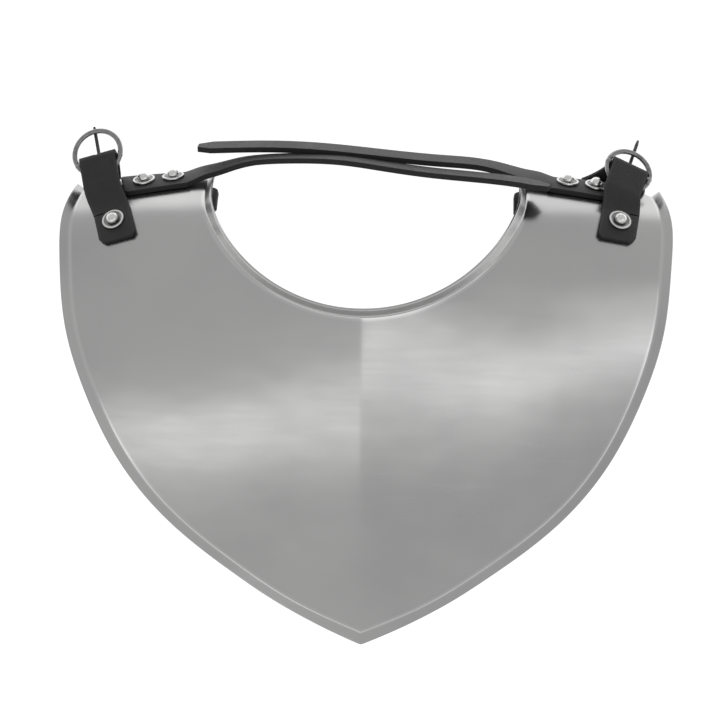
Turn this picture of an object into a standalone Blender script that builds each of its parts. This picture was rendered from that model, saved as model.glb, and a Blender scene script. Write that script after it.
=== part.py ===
"""Front plate of a steel gorget with its leather neck straps and two ring buckles, lying hollow side down.

Metres, +Z up. +Y runs from the plate's tip to the buckles, and +X to the wearer's left shoulder as seen from above.
The plate is drawn in sheet coordinates: across is the distance from the ridge, and along is the distance from
the crest line of the shoulders, positive down the chest to the tip and negative over the back of the shoulders.
"""

import math
from dataclasses import dataclass

import bmesh
import bpy
import numpy as np
from mathutils import Matrix, Vector

# Steel plate
STEEL_THICKNESS = 0.0012
RIDGE_RISE = 0.0820
RIDGE_SLOPE = 0.225
RIDGE_ROUNDING = 0.0022
TIP_REACH = 0.1943
TIP_RISE = 0.0012
SIDE_SLOPE = 0.14
SIDE_CURVE = 0.60
SHOULDER_RADIUS = 0.0660
SHOULDER_LEVEL_ACROSS = 0.1100
LEVELLING_LENGTH = 0.0400
CREST_SOFTNESS = 0.0140
NECK_HALF_WIDTH = 0.0905
SHOULDER_BREADTH = 0.0753
OUTLINE_HALF_WIDTH = NECK_HALF_WIDTH + SHOULDER_BREADTH
OUTLINE_BACK = 0.0690
NECK_FRONT = 0.0179
NECK_DEPTH = 0.0780
NECK_POWER = 1.9
NECK_BACK = 0.0900
BACK_EDGE_BULGE = 0.0110
RIM_FLANGE = 0.0060
RIM_TIP_FLANGE = 0.0082
RIM_ANGLE = math.radians(35)
NECK_FLANGE = 0.0085
NECK_FLANGE_BACK = 0.0050
NECK_ANGLE = math.radians(50)
NECK_ANGLE_BACK = math.radians(30)
FLANGE_BEND = 0.0020

# Leather
LEATHER = 0.0024
STRAP_LEATHER = 0.0030
STRAP_WIDTH = 0.0200
STRAP_LEAN = math.radians(10)
STRAP_POINT = 0.0080
STRAP_POINT_WIDTH = 0.0090
TAB_WIDTH = 0.0211
TAB_END = 0.0125
TAB_CHAMFER = 0.0024
BACKING_WIDTH = 0.0240
BACKING_REACH = 0.0425
SLOT_WIDTH = 0.0046
CLEARANCE = 0.0004
INNER_CLEARANCE = 0.0007

# Metal fittings
RING_OUTER = 0.0285
RING_WIRE = 0.0027
BAR_WIRE = 0.0025
PRONG_WIRE = 0.0018
PRONG_LENGTH = 0.0215
RIVET_HEAD = 0.0072
RIVET_DOME = 0.0026
RIVET_SHANK = 0.0034
RIVET_TAIL = 0.0064
RIVET_TAIL_HEIGHT = 0.0010
WASHER_OUTER = 0.0126
WASHER_THICKNESS = 0.0009
WASHER_EDGE = 0.0003

# Outer crease of the plate: share of its length from the tip to the back edge, share of its half width
OUTLINE_ROWS = (
    (0.00, 0.000),
    (0.07, 0.222),
    (0.15, 0.407),
    (0.27, 0.648),
    (0.39, 0.795),
    (0.52, 0.892),
    (0.66, 0.962),
    (0.80, 0.992),
    (0.90, 1.000),
    (1.00, 0.970),
)

# Free run of the strap that is riveted on the left: share of the neck's half width from its own shoulder,
# share of the shoulder's radius behind the crest line, share of the ridge's rise
LEFT_STRAP_ROWS = (
    (1.045, 1.000, 0.240),
    (0.946, 1.036, 0.250),
    (0.793, 1.092, 0.268),
    (0.628, 1.122, 0.293),
    (0.462, 1.130, 0.317),
    (0.285, 1.128, 0.341),
    (0.159, 1.117, 0.360),
    (-0.093, 1.070, 0.390),
    (-0.405, 1.010, 0.450),
    (-0.715, 0.968, 0.510),
    (-0.991, 0.918, 0.560),
    (-1.126, 0.880, 0.585),
)

# Free run of the strap that is riveted on the right, in the same shares
RIGHT_STRAP_ROWS = (
    (1.060, 1.000, 0.230),
    (0.994, 1.018, 0.225),
    (0.838, 1.074, 0.212),
    (0.712, 1.109, 0.202),
    (0.461, 1.139, 0.183),
    (0.083, 1.185, 0.165),
    (-0.296, 1.233, 0.149),
    (-0.639, 1.248, 0.140),
    (-0.870, 1.240, 0.137),
    (-1.070, 1.229, 0.136),
)

# Leather under each shoulder: share of its reach from the neck's edge, share of the shoulder's radius, share of
# its width
BACKING_ROWS = (
    (1.000, 1.140, 1.00),
    (0.852, 1.145, 1.00),
    (0.639, 1.145, 1.00),
    (0.447, 1.130, 1.00),
    (0.256, 1.090, 1.00),
    (0.064, 1.010, 1.00),
    (-0.053, 0.960, 1.00),
    (-0.128, 0.935, 0.92),
    (-0.166, 0.925, 0.72),
)

# Places across a strip, in half widths
STRAP_SHARES = (-1.0, -0.34, 0.34, 1.0)
SPLINE_PLACES = np.linspace(0, 1, 64)
BOW_ROWS = 6
FOLD_TURN = math.radians(95)


@dataclass(frozen=True)
class Shoulder:
    """One shoulder's leather: places in sheet coordinates, with across from the neck's edge, and angles from above."""

    name: str
    side: float
    strap_end: tuple
    strap_rivets: tuple
    strap_leave: tuple
    strap_rows: tuple
    tab_rivet: tuple
    tab_lean: float
    bar_out: float
    bar_back: float
    bar_rise: float
    bar_yaw: float
    bar_slope: float
    bar_drop: float


LEFT = Shoulder(
    name="left",
    side=-1.0,
    strap_end=(0.0465, -0.0695),
    strap_rivets=((0.0355, -0.0725), (0.0190, -0.0775)),
    strap_leave=(0.0125, -0.0790),
    strap_rows=LEFT_STRAP_ROWS,
    tab_rivet=(0.0494, -0.0384),
    tab_lean=math.radians(16.5),
    bar_out=0.0618,
    bar_back=0.0722,
    bar_rise=0.0205,
    bar_yaw=math.radians(15.7),
    bar_slope=math.radians(20),
    bar_drop=math.radians(6),
)
RIGHT = Shoulder(
    name="right",
    side=1.0,
    strap_end=(0.0455, -0.0712),
    strap_rivets=((0.0385, -0.0735), (0.0225, -0.0775)),
    strap_leave=(0.0145, -0.0790),
    strap_rows=RIGHT_STRAP_ROWS,
    tab_rivet=(0.0506, -0.0426),
    tab_lean=math.radians(10),
    bar_out=0.0573,
    bar_back=0.0708,
    bar_rise=0.0165,
    bar_yaw=math.radians(24),
    bar_slope=math.radians(34),
    bar_drop=math.radians(6),
)


def from_neck(place):
    """A place in sheet coordinates whose distance across was given from the neck's edge."""
    return np.array([NECK_HALF_WIDTH + place[0], place[1]])


def shell(across, along, lift=0.0, side=1.0):
    """A point of the plate's outer face, raised from it by lift."""
    place = shell_face(across, along)
    if lift:
        place = place + shell_normal(across, along) * lift
    return Vector((place.x * side, place.y, place.z))


def shell_face(across, along):
    """The outer face: a ridge that falls to the tip, sides that fall away from it, and shoulders rolled over."""
    over = (math.sqrt(along**2 + CREST_SOFTNESS**2) - along) / 2
    down = along + over
    back = SHOULDER_RADIUS * math.sin(over / SHOULDER_RADIUS)
    roll = SHOULDER_RADIUS * (1 - math.cos(over / SHOULDER_RADIUS))
    ridge_curve = (RIDGE_RISE - TIP_RISE - RIDGE_SLOPE * TIP_REACH) / TIP_REACH**2
    ridge = RIDGE_RISE - RIDGE_SLOPE * down - ridge_curve * down**2
    sides = SIDE_SLOPE * (math.hypot(across, RIDGE_ROUNDING) - RIDGE_ROUNDING) + SIDE_CURVE * across**2
    share = min(abs(across) / SHOULDER_LEVEL_ACROSS, 1.0)
    level = RIDGE_SLOPE * share**2 * (3 - 2 * share)
    levelled = level * LEVELLING_LENGTH * (1 - math.exp(-down / LEVELLING_LENGTH))
    return Vector((across, back - down, ridge - sides + levelled + (RIDGE_SLOPE - level) * back - roll))


def shell_normal(across, along):
    """The unit normal of the outer face, away from the wearer."""
    step = 1e-5
    over_x = shell_face(across + step, along) - shell_face(across - step, along)
    over_y = shell_face(across, along - step) - shell_face(across, along + step)
    return over_x.cross(over_y).normalized()


def spline(rows, places):
    """A natural cubic through the rows, by chord length, read at places from 0 to 1."""
    rows = np.asarray(rows, float)
    knots = np.concatenate([[0.0], np.cumsum(np.linalg.norm(np.diff(rows, axis=0), axis=1))])
    knots /= knots[-1]
    gaps = np.diff(knots)
    count = len(rows)
    system = np.eye(count)
    right = np.zeros_like(rows)
    for i in range(1, count - 1):
        system[i, i - 1 : i + 2] = gaps[i - 1], 2 * (gaps[i - 1] + gaps[i]), gaps[i]
        right[i] = 6 * ((rows[i + 1] - rows[i]) / gaps[i] - (rows[i] - rows[i - 1]) / gaps[i - 1])
    bend = np.linalg.solve(system, right)
    found = []
    for place in places:
        i = min(int(np.searchsorted(knots, place, side="right")) - 1, count - 2)
        gap, a, b = gaps[i], knots[i + 1] - place, place - knots[i]
        straight = rows[i] * a / gap + rows[i + 1] * b / gap
        curved = bend[i] * (a**3 / gap - a * gap) / 6 + bend[i + 1] * (b**3 / gap - b * gap) / 6
        found.append(straight + curved)
    return np.array(found)


def outline(places):
    """The outer crease in sheet coordinates, from the tip to the back edge."""
    length = TIP_REACH + OUTLINE_BACK
    rows = [(half * OUTLINE_HALF_WIDTH, TIP_REACH - share * length) for share, half in OUTLINE_ROWS]
    return spline(rows, places)


def neckline(places):
    """The neck crease in sheet coordinates: a quarter of a superellipse, then straight to the back edge."""
    centre = NECK_FRONT - NECK_DEPTH
    points = []
    for turn in np.linspace(0, math.pi / 2, 25):
        across = NECK_HALF_WIDTH * math.sin(turn) ** (2 / NECK_POWER)
        points.append((across, centre + NECK_DEPTH * math.cos(turn) ** (2 / NECK_POWER)))
    points.append((NECK_HALF_WIDTH, -NECK_BACK))
    points = np.array(points)
    reach = np.concatenate([[0.0], np.cumsum(np.linalg.norm(np.diff(points, axis=0), axis=1))])
    return np.stack([np.interp(places, reach / reach[-1], points[:, i]) for i in range(2)], 1)


def back_edge(across):
    """How far along the plate its back edge lies at this distance across."""
    outer = outline([1.0])[0]
    share = (across - NECK_HALF_WIDTH) / (outer[0] - NECK_HALF_WIDTH)
    return -NECK_BACK + share * (outer[1] + NECK_BACK) - BACK_EDGE_BULGE * 4 * share * (1 - share)


def flange(corner, outward, width, angle):
    """Points from a crease out to a flange's edge: along the plate, round the bend, then straight."""
    normal = shell_normal(*corner)
    start = shell_face(*corner)
    along = shell_face(*(np.asarray(corner) + np.asarray(outward) * 1e-5)) - start
    along = (along - normal * along.dot(normal)).normalized()
    if abs(corner[0]) < 1e-9:
        along = Vector((0, along.y, along.z)).normalized()
        normal = Vector((0, normal.y, normal.z)).normalized()
    points = [start]
    for turn in (angle / 2, angle):
        reach = FLANGE_BEND * math.sin(turn)
        points.append(start + along * reach + normal * FLANGE_BEND * (1 - math.cos(turn)))
    rest = width - FLANGE_BEND * angle
    points.append(points[-1] + (along * math.cos(angle) + normal * math.sin(angle)) * rest)
    return points


def crease_side(points, index, away):
    """The unit direction square to a crease in the sheet, on the side away from the plate."""
    before = points[max(index - 1, 0)]
    after = points[min(index + 1, len(points) - 1)]
    run = after - before
    square = np.array([run[1], -run[0]]) * away
    if index == 0:
        square = np.array([0.0, square[1]])
    return square / np.linalg.norm(square)


def plate_places():
    """Shares round the plate from the ridge to the back edge: close by the ridge and over the shoulders."""
    near = (0.0, 0.006, 0.015, 0.032, 0.058)
    return np.concatenate([near, np.linspace(0.092, 0.60, 12), np.linspace(0.632, 1.0, 13)])


def collection_named(name):
    found = bpy.data.collections.new(name)
    bpy.context.scene.collection.children.link(found)
    return found


def mesh_object(name, bm, home, material=None):
    mesh = bpy.data.meshes.new(name)
    bmesh.ops.recalc_face_normals(bm, faces=bm.faces)
    bm.to_mesh(mesh)
    bm.free()
    obj = bpy.data.objects.new(name, mesh)
    home.objects.link(obj)
    if material:
        mesh.materials.append(material)
    return obj


def grid(columns, rows):
    """A flat grid whose vertices can be looked up by column and row."""
    bm = bmesh.new()
    bmesh.ops.create_grid(bm, x_segments=columns - 1, y_segments=rows - 1, size=0.5)
    lookup = {}
    for vertex in bm.verts:
        column = round((vertex.co.x + 0.5) * (columns - 1))
        row = round((vertex.co.y + 0.5) * (rows - 1))
        lookup[column, row] = vertex
    return bm, lookup


def add_solidify(obj, thickness, offset):
    wall = obj.modifiers.new("wall", "SOLIDIFY")
    wall.thickness = thickness
    wall.offset = offset
    wall.use_even_offset = True
    return wall


def plate(home, material):
    """The steel plate: one half of the outer face with its flanges, mirrored at the ridge and given its wall."""
    places = plate_places()
    rim = outline(places)
    neck = neckline(places)
    shares = np.linspace(0, 1, 9)
    columns = []
    for i, place in enumerate(places):
        neck_width = NECK_FLANGE + (NECK_FLANGE_BACK - NECK_FLANGE) * place**2
        neck_angle = NECK_ANGLE + (NECK_ANGLE_BACK - NECK_ANGLE) * place**2
        inner = flange(neck[i], crease_side(neck, i, 1.0), neck_width, neck_angle)
        width = RIM_FLANGE + (RIM_TIP_FLANGE - RIM_FLANGE) * max(0.0, 1 - place / places[3])
        outer = flange(rim[i], crease_side(rim, i, -1.0), width, RIM_ANGLE)
        middle = []
        for share in shares[1:-1]:
            point = neck[i] * (1 - share) + rim[i] * share
            bulge = BACK_EDGE_BULGE * 4 * share * (1 - share) * place**4
            middle.append(shell_face(point[0], point[1] - bulge))
        columns.append(inner[::-1] + middle + outer)
    bm, lookup = grid(len(columns), len(columns[0]))
    for (column, row), vertex in lookup.items():
        vertex.co = columns[column][row]
        if column == 0:
            vertex.co.x = 0.0
    obj = mesh_object("gorget_plate", bm, home, material)
    normal_up = sum(face.normal.z * face.area for face in obj.data.polygons)
    if normal_up < 0:
        obj.data.flip_normals()
    mirror = obj.modifiers.new("halves", "MIRROR")
    mirror.use_axis = (True, False, False)
    mirror.use_mirror_merge = True
    mirror.merge_threshold = 0.00005
    add_solidify(obj, STEEL_THICKNESS, -1.0)
    return obj


def band(name, rows, thickness, home, material, slot=None):
    """A leather strip: rows of points across it, one row for each place along it, given a wall.

    slot is a pair of rows between which the strip's middle is open.
    """
    bm, lookup = grid(len(rows), len(rows[0]))
    for (column, row), vertex in lookup.items():
        vertex.co = rows[column][row]
    if slot:
        middle = (len(rows[0]) // 2 - 1, len(rows[0]) // 2)
        places = {vertex: key for key, vertex in lookup.items()}
        found = []
        for face in bm.faces:
            keys = [places[vertex] for vertex in face.verts]
            if all(slot[0] <= column <= slot[1] and row in middle for column, row in keys):
                found.append(face)
        bmesh.ops.delete(bm, geom=found, context="FACES")
    obj = mesh_object(name, bm, home, material)
    add_solidify(obj, thickness, 0.0)
    return obj


def squared(across, run):
    """The direction across, made square to the run."""
    return (across - run * across.dot(run)).normalized()


def free_rows(centres, acrosses, halves, shares, bow=Vector()):
    """Rows of a strip in the air: straight across, square to its path, after a bow that dies out."""
    rows = []
    for i, centre in enumerate(centres):
        run = (centres[min(i + 1, len(centres) - 1)] - centres[max(i - 1, 0)]).normalized()
        across = squared(acrosses[i], run)
        left = max(0.0, 1 - (i + 1) / BOW_ROWS)
        rows.append([centre + across * share * halves[i] + bow * left * share**2 for share in shares])
    return rows


def shell_row(point, square, half, lift, side, shares):
    """A row of a strip that lies along the plate, at one height from it all the way across."""
    found = []
    for share in shares:
        place = np.asarray(point) + np.asarray(square) * share * half
        found.append(shell(place[0], place[1], lift, side))
    return found


def row_bow(row):
    """How far a row's ends lie off the straight line through its middle."""
    middle = (row[(len(row) - 1) // 2] + row[len(row) // 2]) / 2
    return (row[0] + row[-1]) / 2 - middle


def strap(shoulder, home, material):
    """A neck strap: flat on the shoulder under its two rivets, then free across the neck opening on its edge."""
    lift = CLEARANCE + STRAP_LEATHER / 2
    end, leave = from_neck(shoulder.strap_end), from_neck(shoulder.strap_leave)
    run = (leave - end) / np.linalg.norm(leave - end)
    square = np.array([-run[1], run[0]]) if run[0] > 0 else np.array([run[1], -run[0]])
    half = STRAP_WIDTH / 2
    held = [end * (1 - share) + leave * share for share in np.linspace(0, 1, 6)]
    rows = [shell_row(point, square, half, lift, shoulder.side, STRAP_SHARES) for point in held]
    seated = [shell(point[0], point[1], lift, shoulder.side) for point in held]
    free = [
        Vector((across * NECK_HALF_WIDTH * shoulder.side, behind * SHOULDER_RADIUS, rise * RIDGE_RISE))
        for across, behind, rise in shoulder.strap_rows
    ]
    path = [Vector(point) for point in spline([tuple(point) for point in seated[-3:] + free], SPLINE_PLACES)]
    first = min(range(len(path)), key=lambda i: (path[i] - seated[-1]).length) + 1
    tip = path[-1]
    centres = [point for point in path[first::2] if (point - tip).length > STRAP_POINT * 1.4]
    centres.append(tip + (centres[-1] - tip).normalized() * STRAP_POINT)
    centres.append(tip)
    settled = (rows[-1][-1] - rows[-1][0]).normalized()
    upright = Vector((0, math.sin(STRAP_LEAN), -math.cos(STRAP_LEAN)))
    upright *= 1 if settled.dot(upright) > 0 else -1
    acrosses = [settled.lerp(upright, min(1.0, (i + 1) / BOW_ROWS)) for i in range(len(centres))]
    halves = [half] * (len(centres) - 1) + [STRAP_POINT_WIDTH / 2]
    rows += free_rows(centres, acrosses, halves, STRAP_SHARES, row_bow(rows[-1]))
    return band(f"{shoulder.name}_neck_strap", rows, STRAP_LEATHER, home, material)


def sheet_direction(point, direction, side):
    """The direction in space of a direction in the sheet."""
    step = np.asarray(direction) * 1e-5
    ahead = shell(point[0] + step[0], point[1] + step[1], 0.0, side)
    behind = shell(point[0] - step[0], point[1] - step[1], 0.0, side)
    return (ahead - behind).normalized()


def bezier_point(start, start_run, end, end_run, t):
    """The point at share t of a cubic from start to end with the given directions."""
    reach = (end - start).length * 0.36
    hand_a, hand_b = start + start_run * reach, end - end_run * reach
    s = 1 - t
    return start * s**3 + hand_a * 3 * s * s * t + hand_b * 3 * s * t * t + end * t**3


def bezier(start, start_run, end, end_run, count):
    """Points of such a cubic, evenly spaced, without its two ends."""
    return [bezier_point(start, start_run, end, end_run, t) for t in np.linspace(0, 1, count + 2)[1:-1]]


def bar_frame(shoulder):
    """The buckle bar's centre, its direction, the direction out of the fold, and the fold's upper normal."""
    centre = Vector((shoulder.side * (NECK_HALF_WIDTH + shoulder.bar_out), shoulder.bar_back, shoulder.bar_rise))
    yaw = -shoulder.side * shoulder.bar_yaw
    flat = Vector((math.cos(yaw), math.sin(yaw), 0))
    drop = shoulder.side * shoulder.bar_drop
    bar = (flat * math.cos(drop) - Vector((0, 0, 1)) * math.sin(drop)).normalized()
    ahead = Vector((-math.sin(yaw), math.cos(yaw), 0))
    out = ahead * math.cos(shoulder.bar_slope) - Vector((0, 0, 1)) * math.sin(shoulder.bar_slope)
    out = squared(out, bar)
    return centre, bar, out, bar.cross(out).normalized()


def edge_reach(point, lean):
    """The sheet point where a line from point along lean meets the plate's back edge."""
    place = np.array(point, float)
    for _ in range(8):
        place = place + lean * (place[1] - back_edge(place[0])) / -lean[1]
    return place


def tab(shoulder, home, material):
    """A buckle tab: from its end past the rivet, over to the ring's bar, round it, and back inside the plate."""
    rivet = from_neck(shoulder.tab_rivet)
    lean = np.array([math.sin(shoulder.tab_lean), -math.cos(shoulder.tab_lean)])
    square = np.array([-lean[1], lean[0]])
    side, half = shoulder.side, TAB_WIDTH / 2
    lift = CLEARANCE + LEATHER / 2
    narrow = half - TAB_CHAMFER
    slot_share = SLOT_WIDTH / TAB_WIDTH
    shares = (-1.0, -0.6, -slot_share, slot_share, 0.6, 1.0)
    if side < 0:
        shares = shares[::-1]
    centre, bar, out, top = bar_frame(shoulder)
    rows = [shell_row(rivet - lean * TAB_END, square, narrow, lift, side, shares)]
    for reach in (TAB_CHAMFER - TAB_END, -0.006, -0.002, 0.002, 0.006):
        rows.append(shell_row(rivet + lean * reach, square, half, lift, side, shares))
    start = (rows[-1][2] + rows[-1][3]) / 2
    turn = RING_WIRE / 2 + CLEARANCE + LEATHER / 2
    straight = RING_OUTER / 2 + 3 * CLEARANCE
    landing = centre + top * turn - out * straight
    path = bezier(start, sheet_direction(rivet + lean * 0.006, lean, side), landing, out, 4)
    path += [landing.lerp(centre + top * turn, share) for share in (0.0, 0.35, 0.7)]
    settled = (rows[-1][-1] - rows[-1][0]).normalized()
    acrosses = [settled.lerp(bar, min(1.0, (i + 1) / 5)) * side for i in range(len(path))]
    rows += free_rows(path, acrosses, [half] * len(path), shares, row_bow(rows[-1]))
    first_open = len(rows) - 1
    for angle in np.linspace(0, FOLD_TURN, 7):
        middle = centre + (top * math.cos(angle) + out * math.sin(angle)) * turn
        rows.append([middle + bar * side * share * half for share in shares])
    last_open = len(rows) + 2
    run = out * math.cos(FOLD_TURN) - top * math.sin(FOLD_TURN)
    wrap = STEEL_THICKNESS / 2 + INNER_CLEARANCE + LEATHER / 2
    edges = [edge_reach(rivet + square * share * half, lean) for share in shares]
    wrapped = []
    for angle in np.linspace(0, math.pi, 7):
        wrapped.append([wrap_point(edge, lean, angle, wrap, side) for edge in edges])
    fold = rows[-1]
    for share in (0.12, 0.26, 0.44, 0.63, 0.82):
        rows.append([])
        for a, b, edge in zip(fold, wrapped[0], edges):
            rows[-1].append(bezier_point(a, run, b, sheet_direction(edge, lean, side), share))
    rows += wrapped
    inside = -(STEEL_THICKNESS + INNER_CLEARANCE + LEATHER / 2)
    for share in (0.12, 0.28, 0.46, 0.64, 0.82):
        rows.append([])
        for across, edge in zip(shares, edges):
            place = edge * (1 - share) + (rivet + square * across * half) * share
            rows[-1].append(shell(place[0], place[1], inside, side))
    for reach in (0.002, -0.002, -0.006, TAB_CHAMFER - TAB_END):
        rows.append(shell_row(rivet + lean * reach, square, half, inside, side, shares))
    rows.append(shell_row(rivet - lean * TAB_END, square, narrow, inside, side, shares))
    return band(f"{shoulder.name}_buckle_tab", rows, LEATHER, home, material, (first_open, last_open))


def wrap_point(edge, lean, angle, wrap, side):
    """A point on the way round the plate's back edge, from its outer face to its inner face."""
    middle = shell(edge[0], edge[1], -STEEL_THICKNESS / 2, side)
    normal = (shell(edge[0], edge[1], STEEL_THICKNESS / 2, side) - middle).normalized()
    down = sheet_direction(edge, lean, side)
    return middle + (normal * math.cos(angle) + down * math.sin(angle)) * wrap


def backing(shoulder, home, material):
    """The leather under the shoulder that the strap's rivets pass through, with a rounded end in the neck."""
    inside = -(STEEL_THICKNESS + INNER_CLEARANCE + LEATHER / 2)
    rows = []
    for reach, along, width in BACKING_ROWS:
        place = from_neck((BACKING_REACH * reach, -SHOULDER_RADIUS * along))
        half = BACKING_WIDTH / 2 * width
        rows.append(shell_row(place, (0.0, 1.0), half, inside, shoulder.side, STRAP_SHARES))
    return band(f"{shoulder.name}_strap_backing", rows, LEATHER, home, material)


def turned(name, profile, place, axis, home, material, steps=14):
    """A turned piece: a closed profile of radius and height, spun about an axis through place."""
    bm = bmesh.new()
    vertices = [bm.verts.new((radius, 0, height)) for radius, height in profile]
    closed = profile[0][0] > 0
    pairs = list(zip(vertices, vertices[1:]))
    if closed:
        pairs.append((vertices[-1], vertices[0]))
    for a, b in pairs:
        bm.edges.new((a, b))
    mesh = bpy.data.meshes.new(name)
    bm.to_mesh(mesh)
    bm.free()
    obj = bpy.data.objects.new(name, mesh)
    home.objects.link(obj)
    mesh.materials.append(material)
    spin = obj.modifiers.new("spin", "SCREW")
    spin.steps = steps
    spin.render_steps = steps
    spin.use_merge_vertices = True
    spin.merge_threshold = 0.00005
    turn = Vector((0, 0, 1)).rotation_difference(axis)
    obj.matrix_world = Matrix.Translation(place) @ turn.to_matrix().to_4x4()
    return obj


def rivet_set(name, shoulder, point, leather_out, home, materials):
    """A domed rivet through the plate and both leathers, with a washer under its head."""
    face = shell(point[0], point[1], 0.0, shoulder.side)
    normal = (shell(point[0], point[1], 0.001, shoulder.side) - face).normalized()
    seat = 2 * CLEARANCE + leather_out
    washer_top = seat + WASHER_THICKNESS
    hole = RIVET_SHANK / 2 + CLEARANCE
    rim = WASHER_OUTER / 2
    washer = (
        (rim - WASHER_EDGE, washer_top),
        (rim, washer_top - WASHER_EDGE),
        (rim, seat),
        (hole, seat),
        (hole, washer_top),
    )
    turned(f"{name}_washer", washer, face, normal, home, materials["washer"], 14)
    head = washer_top + CLEARANCE
    tail = -(STEEL_THICKNESS + 2 * INNER_CLEARANCE + LEATHER)
    dome = [
        (RIVET_HEAD / 2 * math.sin(turn), head + RIVET_DOME * math.cos(turn))
        for turn in np.linspace(0, math.pi / 2, 5)
    ]
    dome[-1] = (RIVET_HEAD / 2, head + RIVET_DOME * 0.1)
    profile = dome + [
        (RIVET_HEAD / 2, head),
        (RIVET_SHANK / 2, head),
        (RIVET_SHANK / 2, tail),
        (RIVET_TAIL / 2, tail),
        (RIVET_TAIL / 2 * 0.8, tail - RIVET_TAIL_HEIGHT),
        (0.0, tail - RIVET_TAIL_HEIGHT),
    ]
    turned(name, profile, face, normal, home, materials["rivet"], 11)
    return face, normal


def drill(objects, face, normal, cutters, name):
    """A round hole for a rivet's shank through each of the objects."""
    bm = bmesh.new()
    radius = RIVET_SHANK / 2 + CLEARANCE
    bmesh.ops.create_cone(
        bm, cap_ends=True, segments=12, radius1=radius, radius2=radius, depth=0.016
    )
    cutter = mesh_object(name, bm, cutters)
    turn = Vector((0, 0, 1)).rotation_difference(normal)
    cutter.matrix_world = Matrix.Translation(face) @ turn.to_matrix().to_4x4()
    cutter.hide_render = True
    cutter.display_type = "WIRE"
    for obj in objects:
        cut = obj.modifiers.new(name, "BOOLEAN")
        cut.operation = "DIFFERENCE"
        cut.object = cutter


def ring(shoulder, home, cutters, material):
    """The round buckle: a wire ring with a bar across it, placed by the bar's axis."""
    centre, bar, out, top = bar_frame(shoulder)
    major = (RING_OUTER - RING_WIRE) / 2
    bpy.ops.mesh.primitive_torus_add(
        major_segments=28, minor_segments=9, major_radius=major, minor_radius=RING_WIRE / 2
    )
    obj = bpy.context.object
    obj.name = obj.data.name = f"{shoulder.name}_buckle_ring"
    for old in obj.users_collection:
        old.objects.unlink(obj)
    home.objects.link(obj)
    obj.data.materials.append(material)
    bm = bmesh.new()
    bmesh.ops.create_cone(
        bm, cap_ends=True, segments=10, radius1=BAR_WIRE / 2, radius2=BAR_WIRE / 2, depth=2 * major
    )
    bmesh.ops.rotate(bm, verts=bm.verts, cent=(0, 0, 0), matrix=Matrix.Rotation(math.pi / 2, 3, "Y"))
    rod = mesh_object(f"{shoulder.name}_bar_blank", bm, cutters)
    rod.hide_render = True
    rod.display_type = "WIRE"
    frame = Matrix((bar, out, top)).transposed().to_4x4()
    frame.translation = centre
    obj.matrix_world = frame
    rod.matrix_world = frame
    join = obj.modifiers.new("bar", "BOOLEAN")
    join.operation = "UNION"
    join.object = rod
    return obj


def prong(shoulder, home, material):
    """The prong: a wire hooked round the bar, its straight shank lying under the ring's far side."""
    centre, bar, out, top = bar_frame(shoulder)
    hook = BAR_WIRE / 2 + CLEARANCE + PRONG_WIRE / 2
    major = (RING_OUTER - RING_WIRE) / 2
    below = (RING_WIRE + PRONG_WIRE) / 2 + CLEARANCE
    dip = math.asin((below - hook) / major) if below > hook else 0.0
    points = []
    for angle in np.linspace(math.radians(250), 0, 15):
        points.append((hook * math.sin(angle - dip), -hook * math.cos(angle - dip)))
    last = np.array(points[-1])
    run = np.array([math.cos(dip), -math.sin(dip)])
    length = PRONG_LENGTH - last[0]
    for share in (0.5, 0.9, 1.0):
        points.append(tuple(last + run * length * share))
    curve = bpy.data.curves.new(f"{shoulder.name}_prong", "CURVE")
    curve.dimensions = "3D"
    curve.bevel_depth = PRONG_WIRE / 2
    curve.bevel_resolution = 2
    curve.use_fill_caps = True
    line = curve.splines.new("POLY")
    line.points.add(len(points) - 1)
    for i, (forward, up) in enumerate(points):
        line.points[i].co = (0.0, forward, up, 1.0)
        line.points[i].radius = 0.55 if i == len(points) - 1 else 1.0
    obj = bpy.data.objects.new(curve.name, curve)
    home.objects.link(obj)
    curve.materials.append(material)
    frame = Matrix((bar, out, top)).transposed().to_4x4()
    frame.translation = centre
    obj.matrix_world = frame
    return obj


def principled(name, colour, metallic, roughness):
    material = bpy.data.materials.new(name)
    material.use_nodes = True
    shader = material.node_tree.nodes["Principled BSDF"]
    shader.inputs["Base Color"].default_value = (*colour, 1)
    shader.inputs["Metallic"].default_value = metallic
    shader.inputs["Roughness"].default_value = roughness
    return material


def settle(home):
    """Hangs every piece on one empty, set so that the part's lowest point and middle lie at the origin."""
    bpy.context.view_layer.update()
    graph = bpy.context.evaluated_depsgraph_get()
    corners = []
    for obj in home.objects:
        found = obj.evaluated_get(graph)
        mesh = found.to_mesh()
        corners += [found.matrix_world @ vertex.co for vertex in mesh.vertices]
        found.to_mesh_clear()
    low = [min(corner[i] for corner in corners) for i in range(3)]
    high = [max(corner[i] for corner in corners) for i in range(3)]
    root = bpy.data.objects.new("gorget_root", None)
    home.objects.link(root)
    for obj in list(home.objects):
        if obj is not root:
            obj.parent = root
    root.location = (-(low[0] + high[0]) / 2, -(low[1] + high[1]) / 2, -low[2])
    return root


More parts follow.
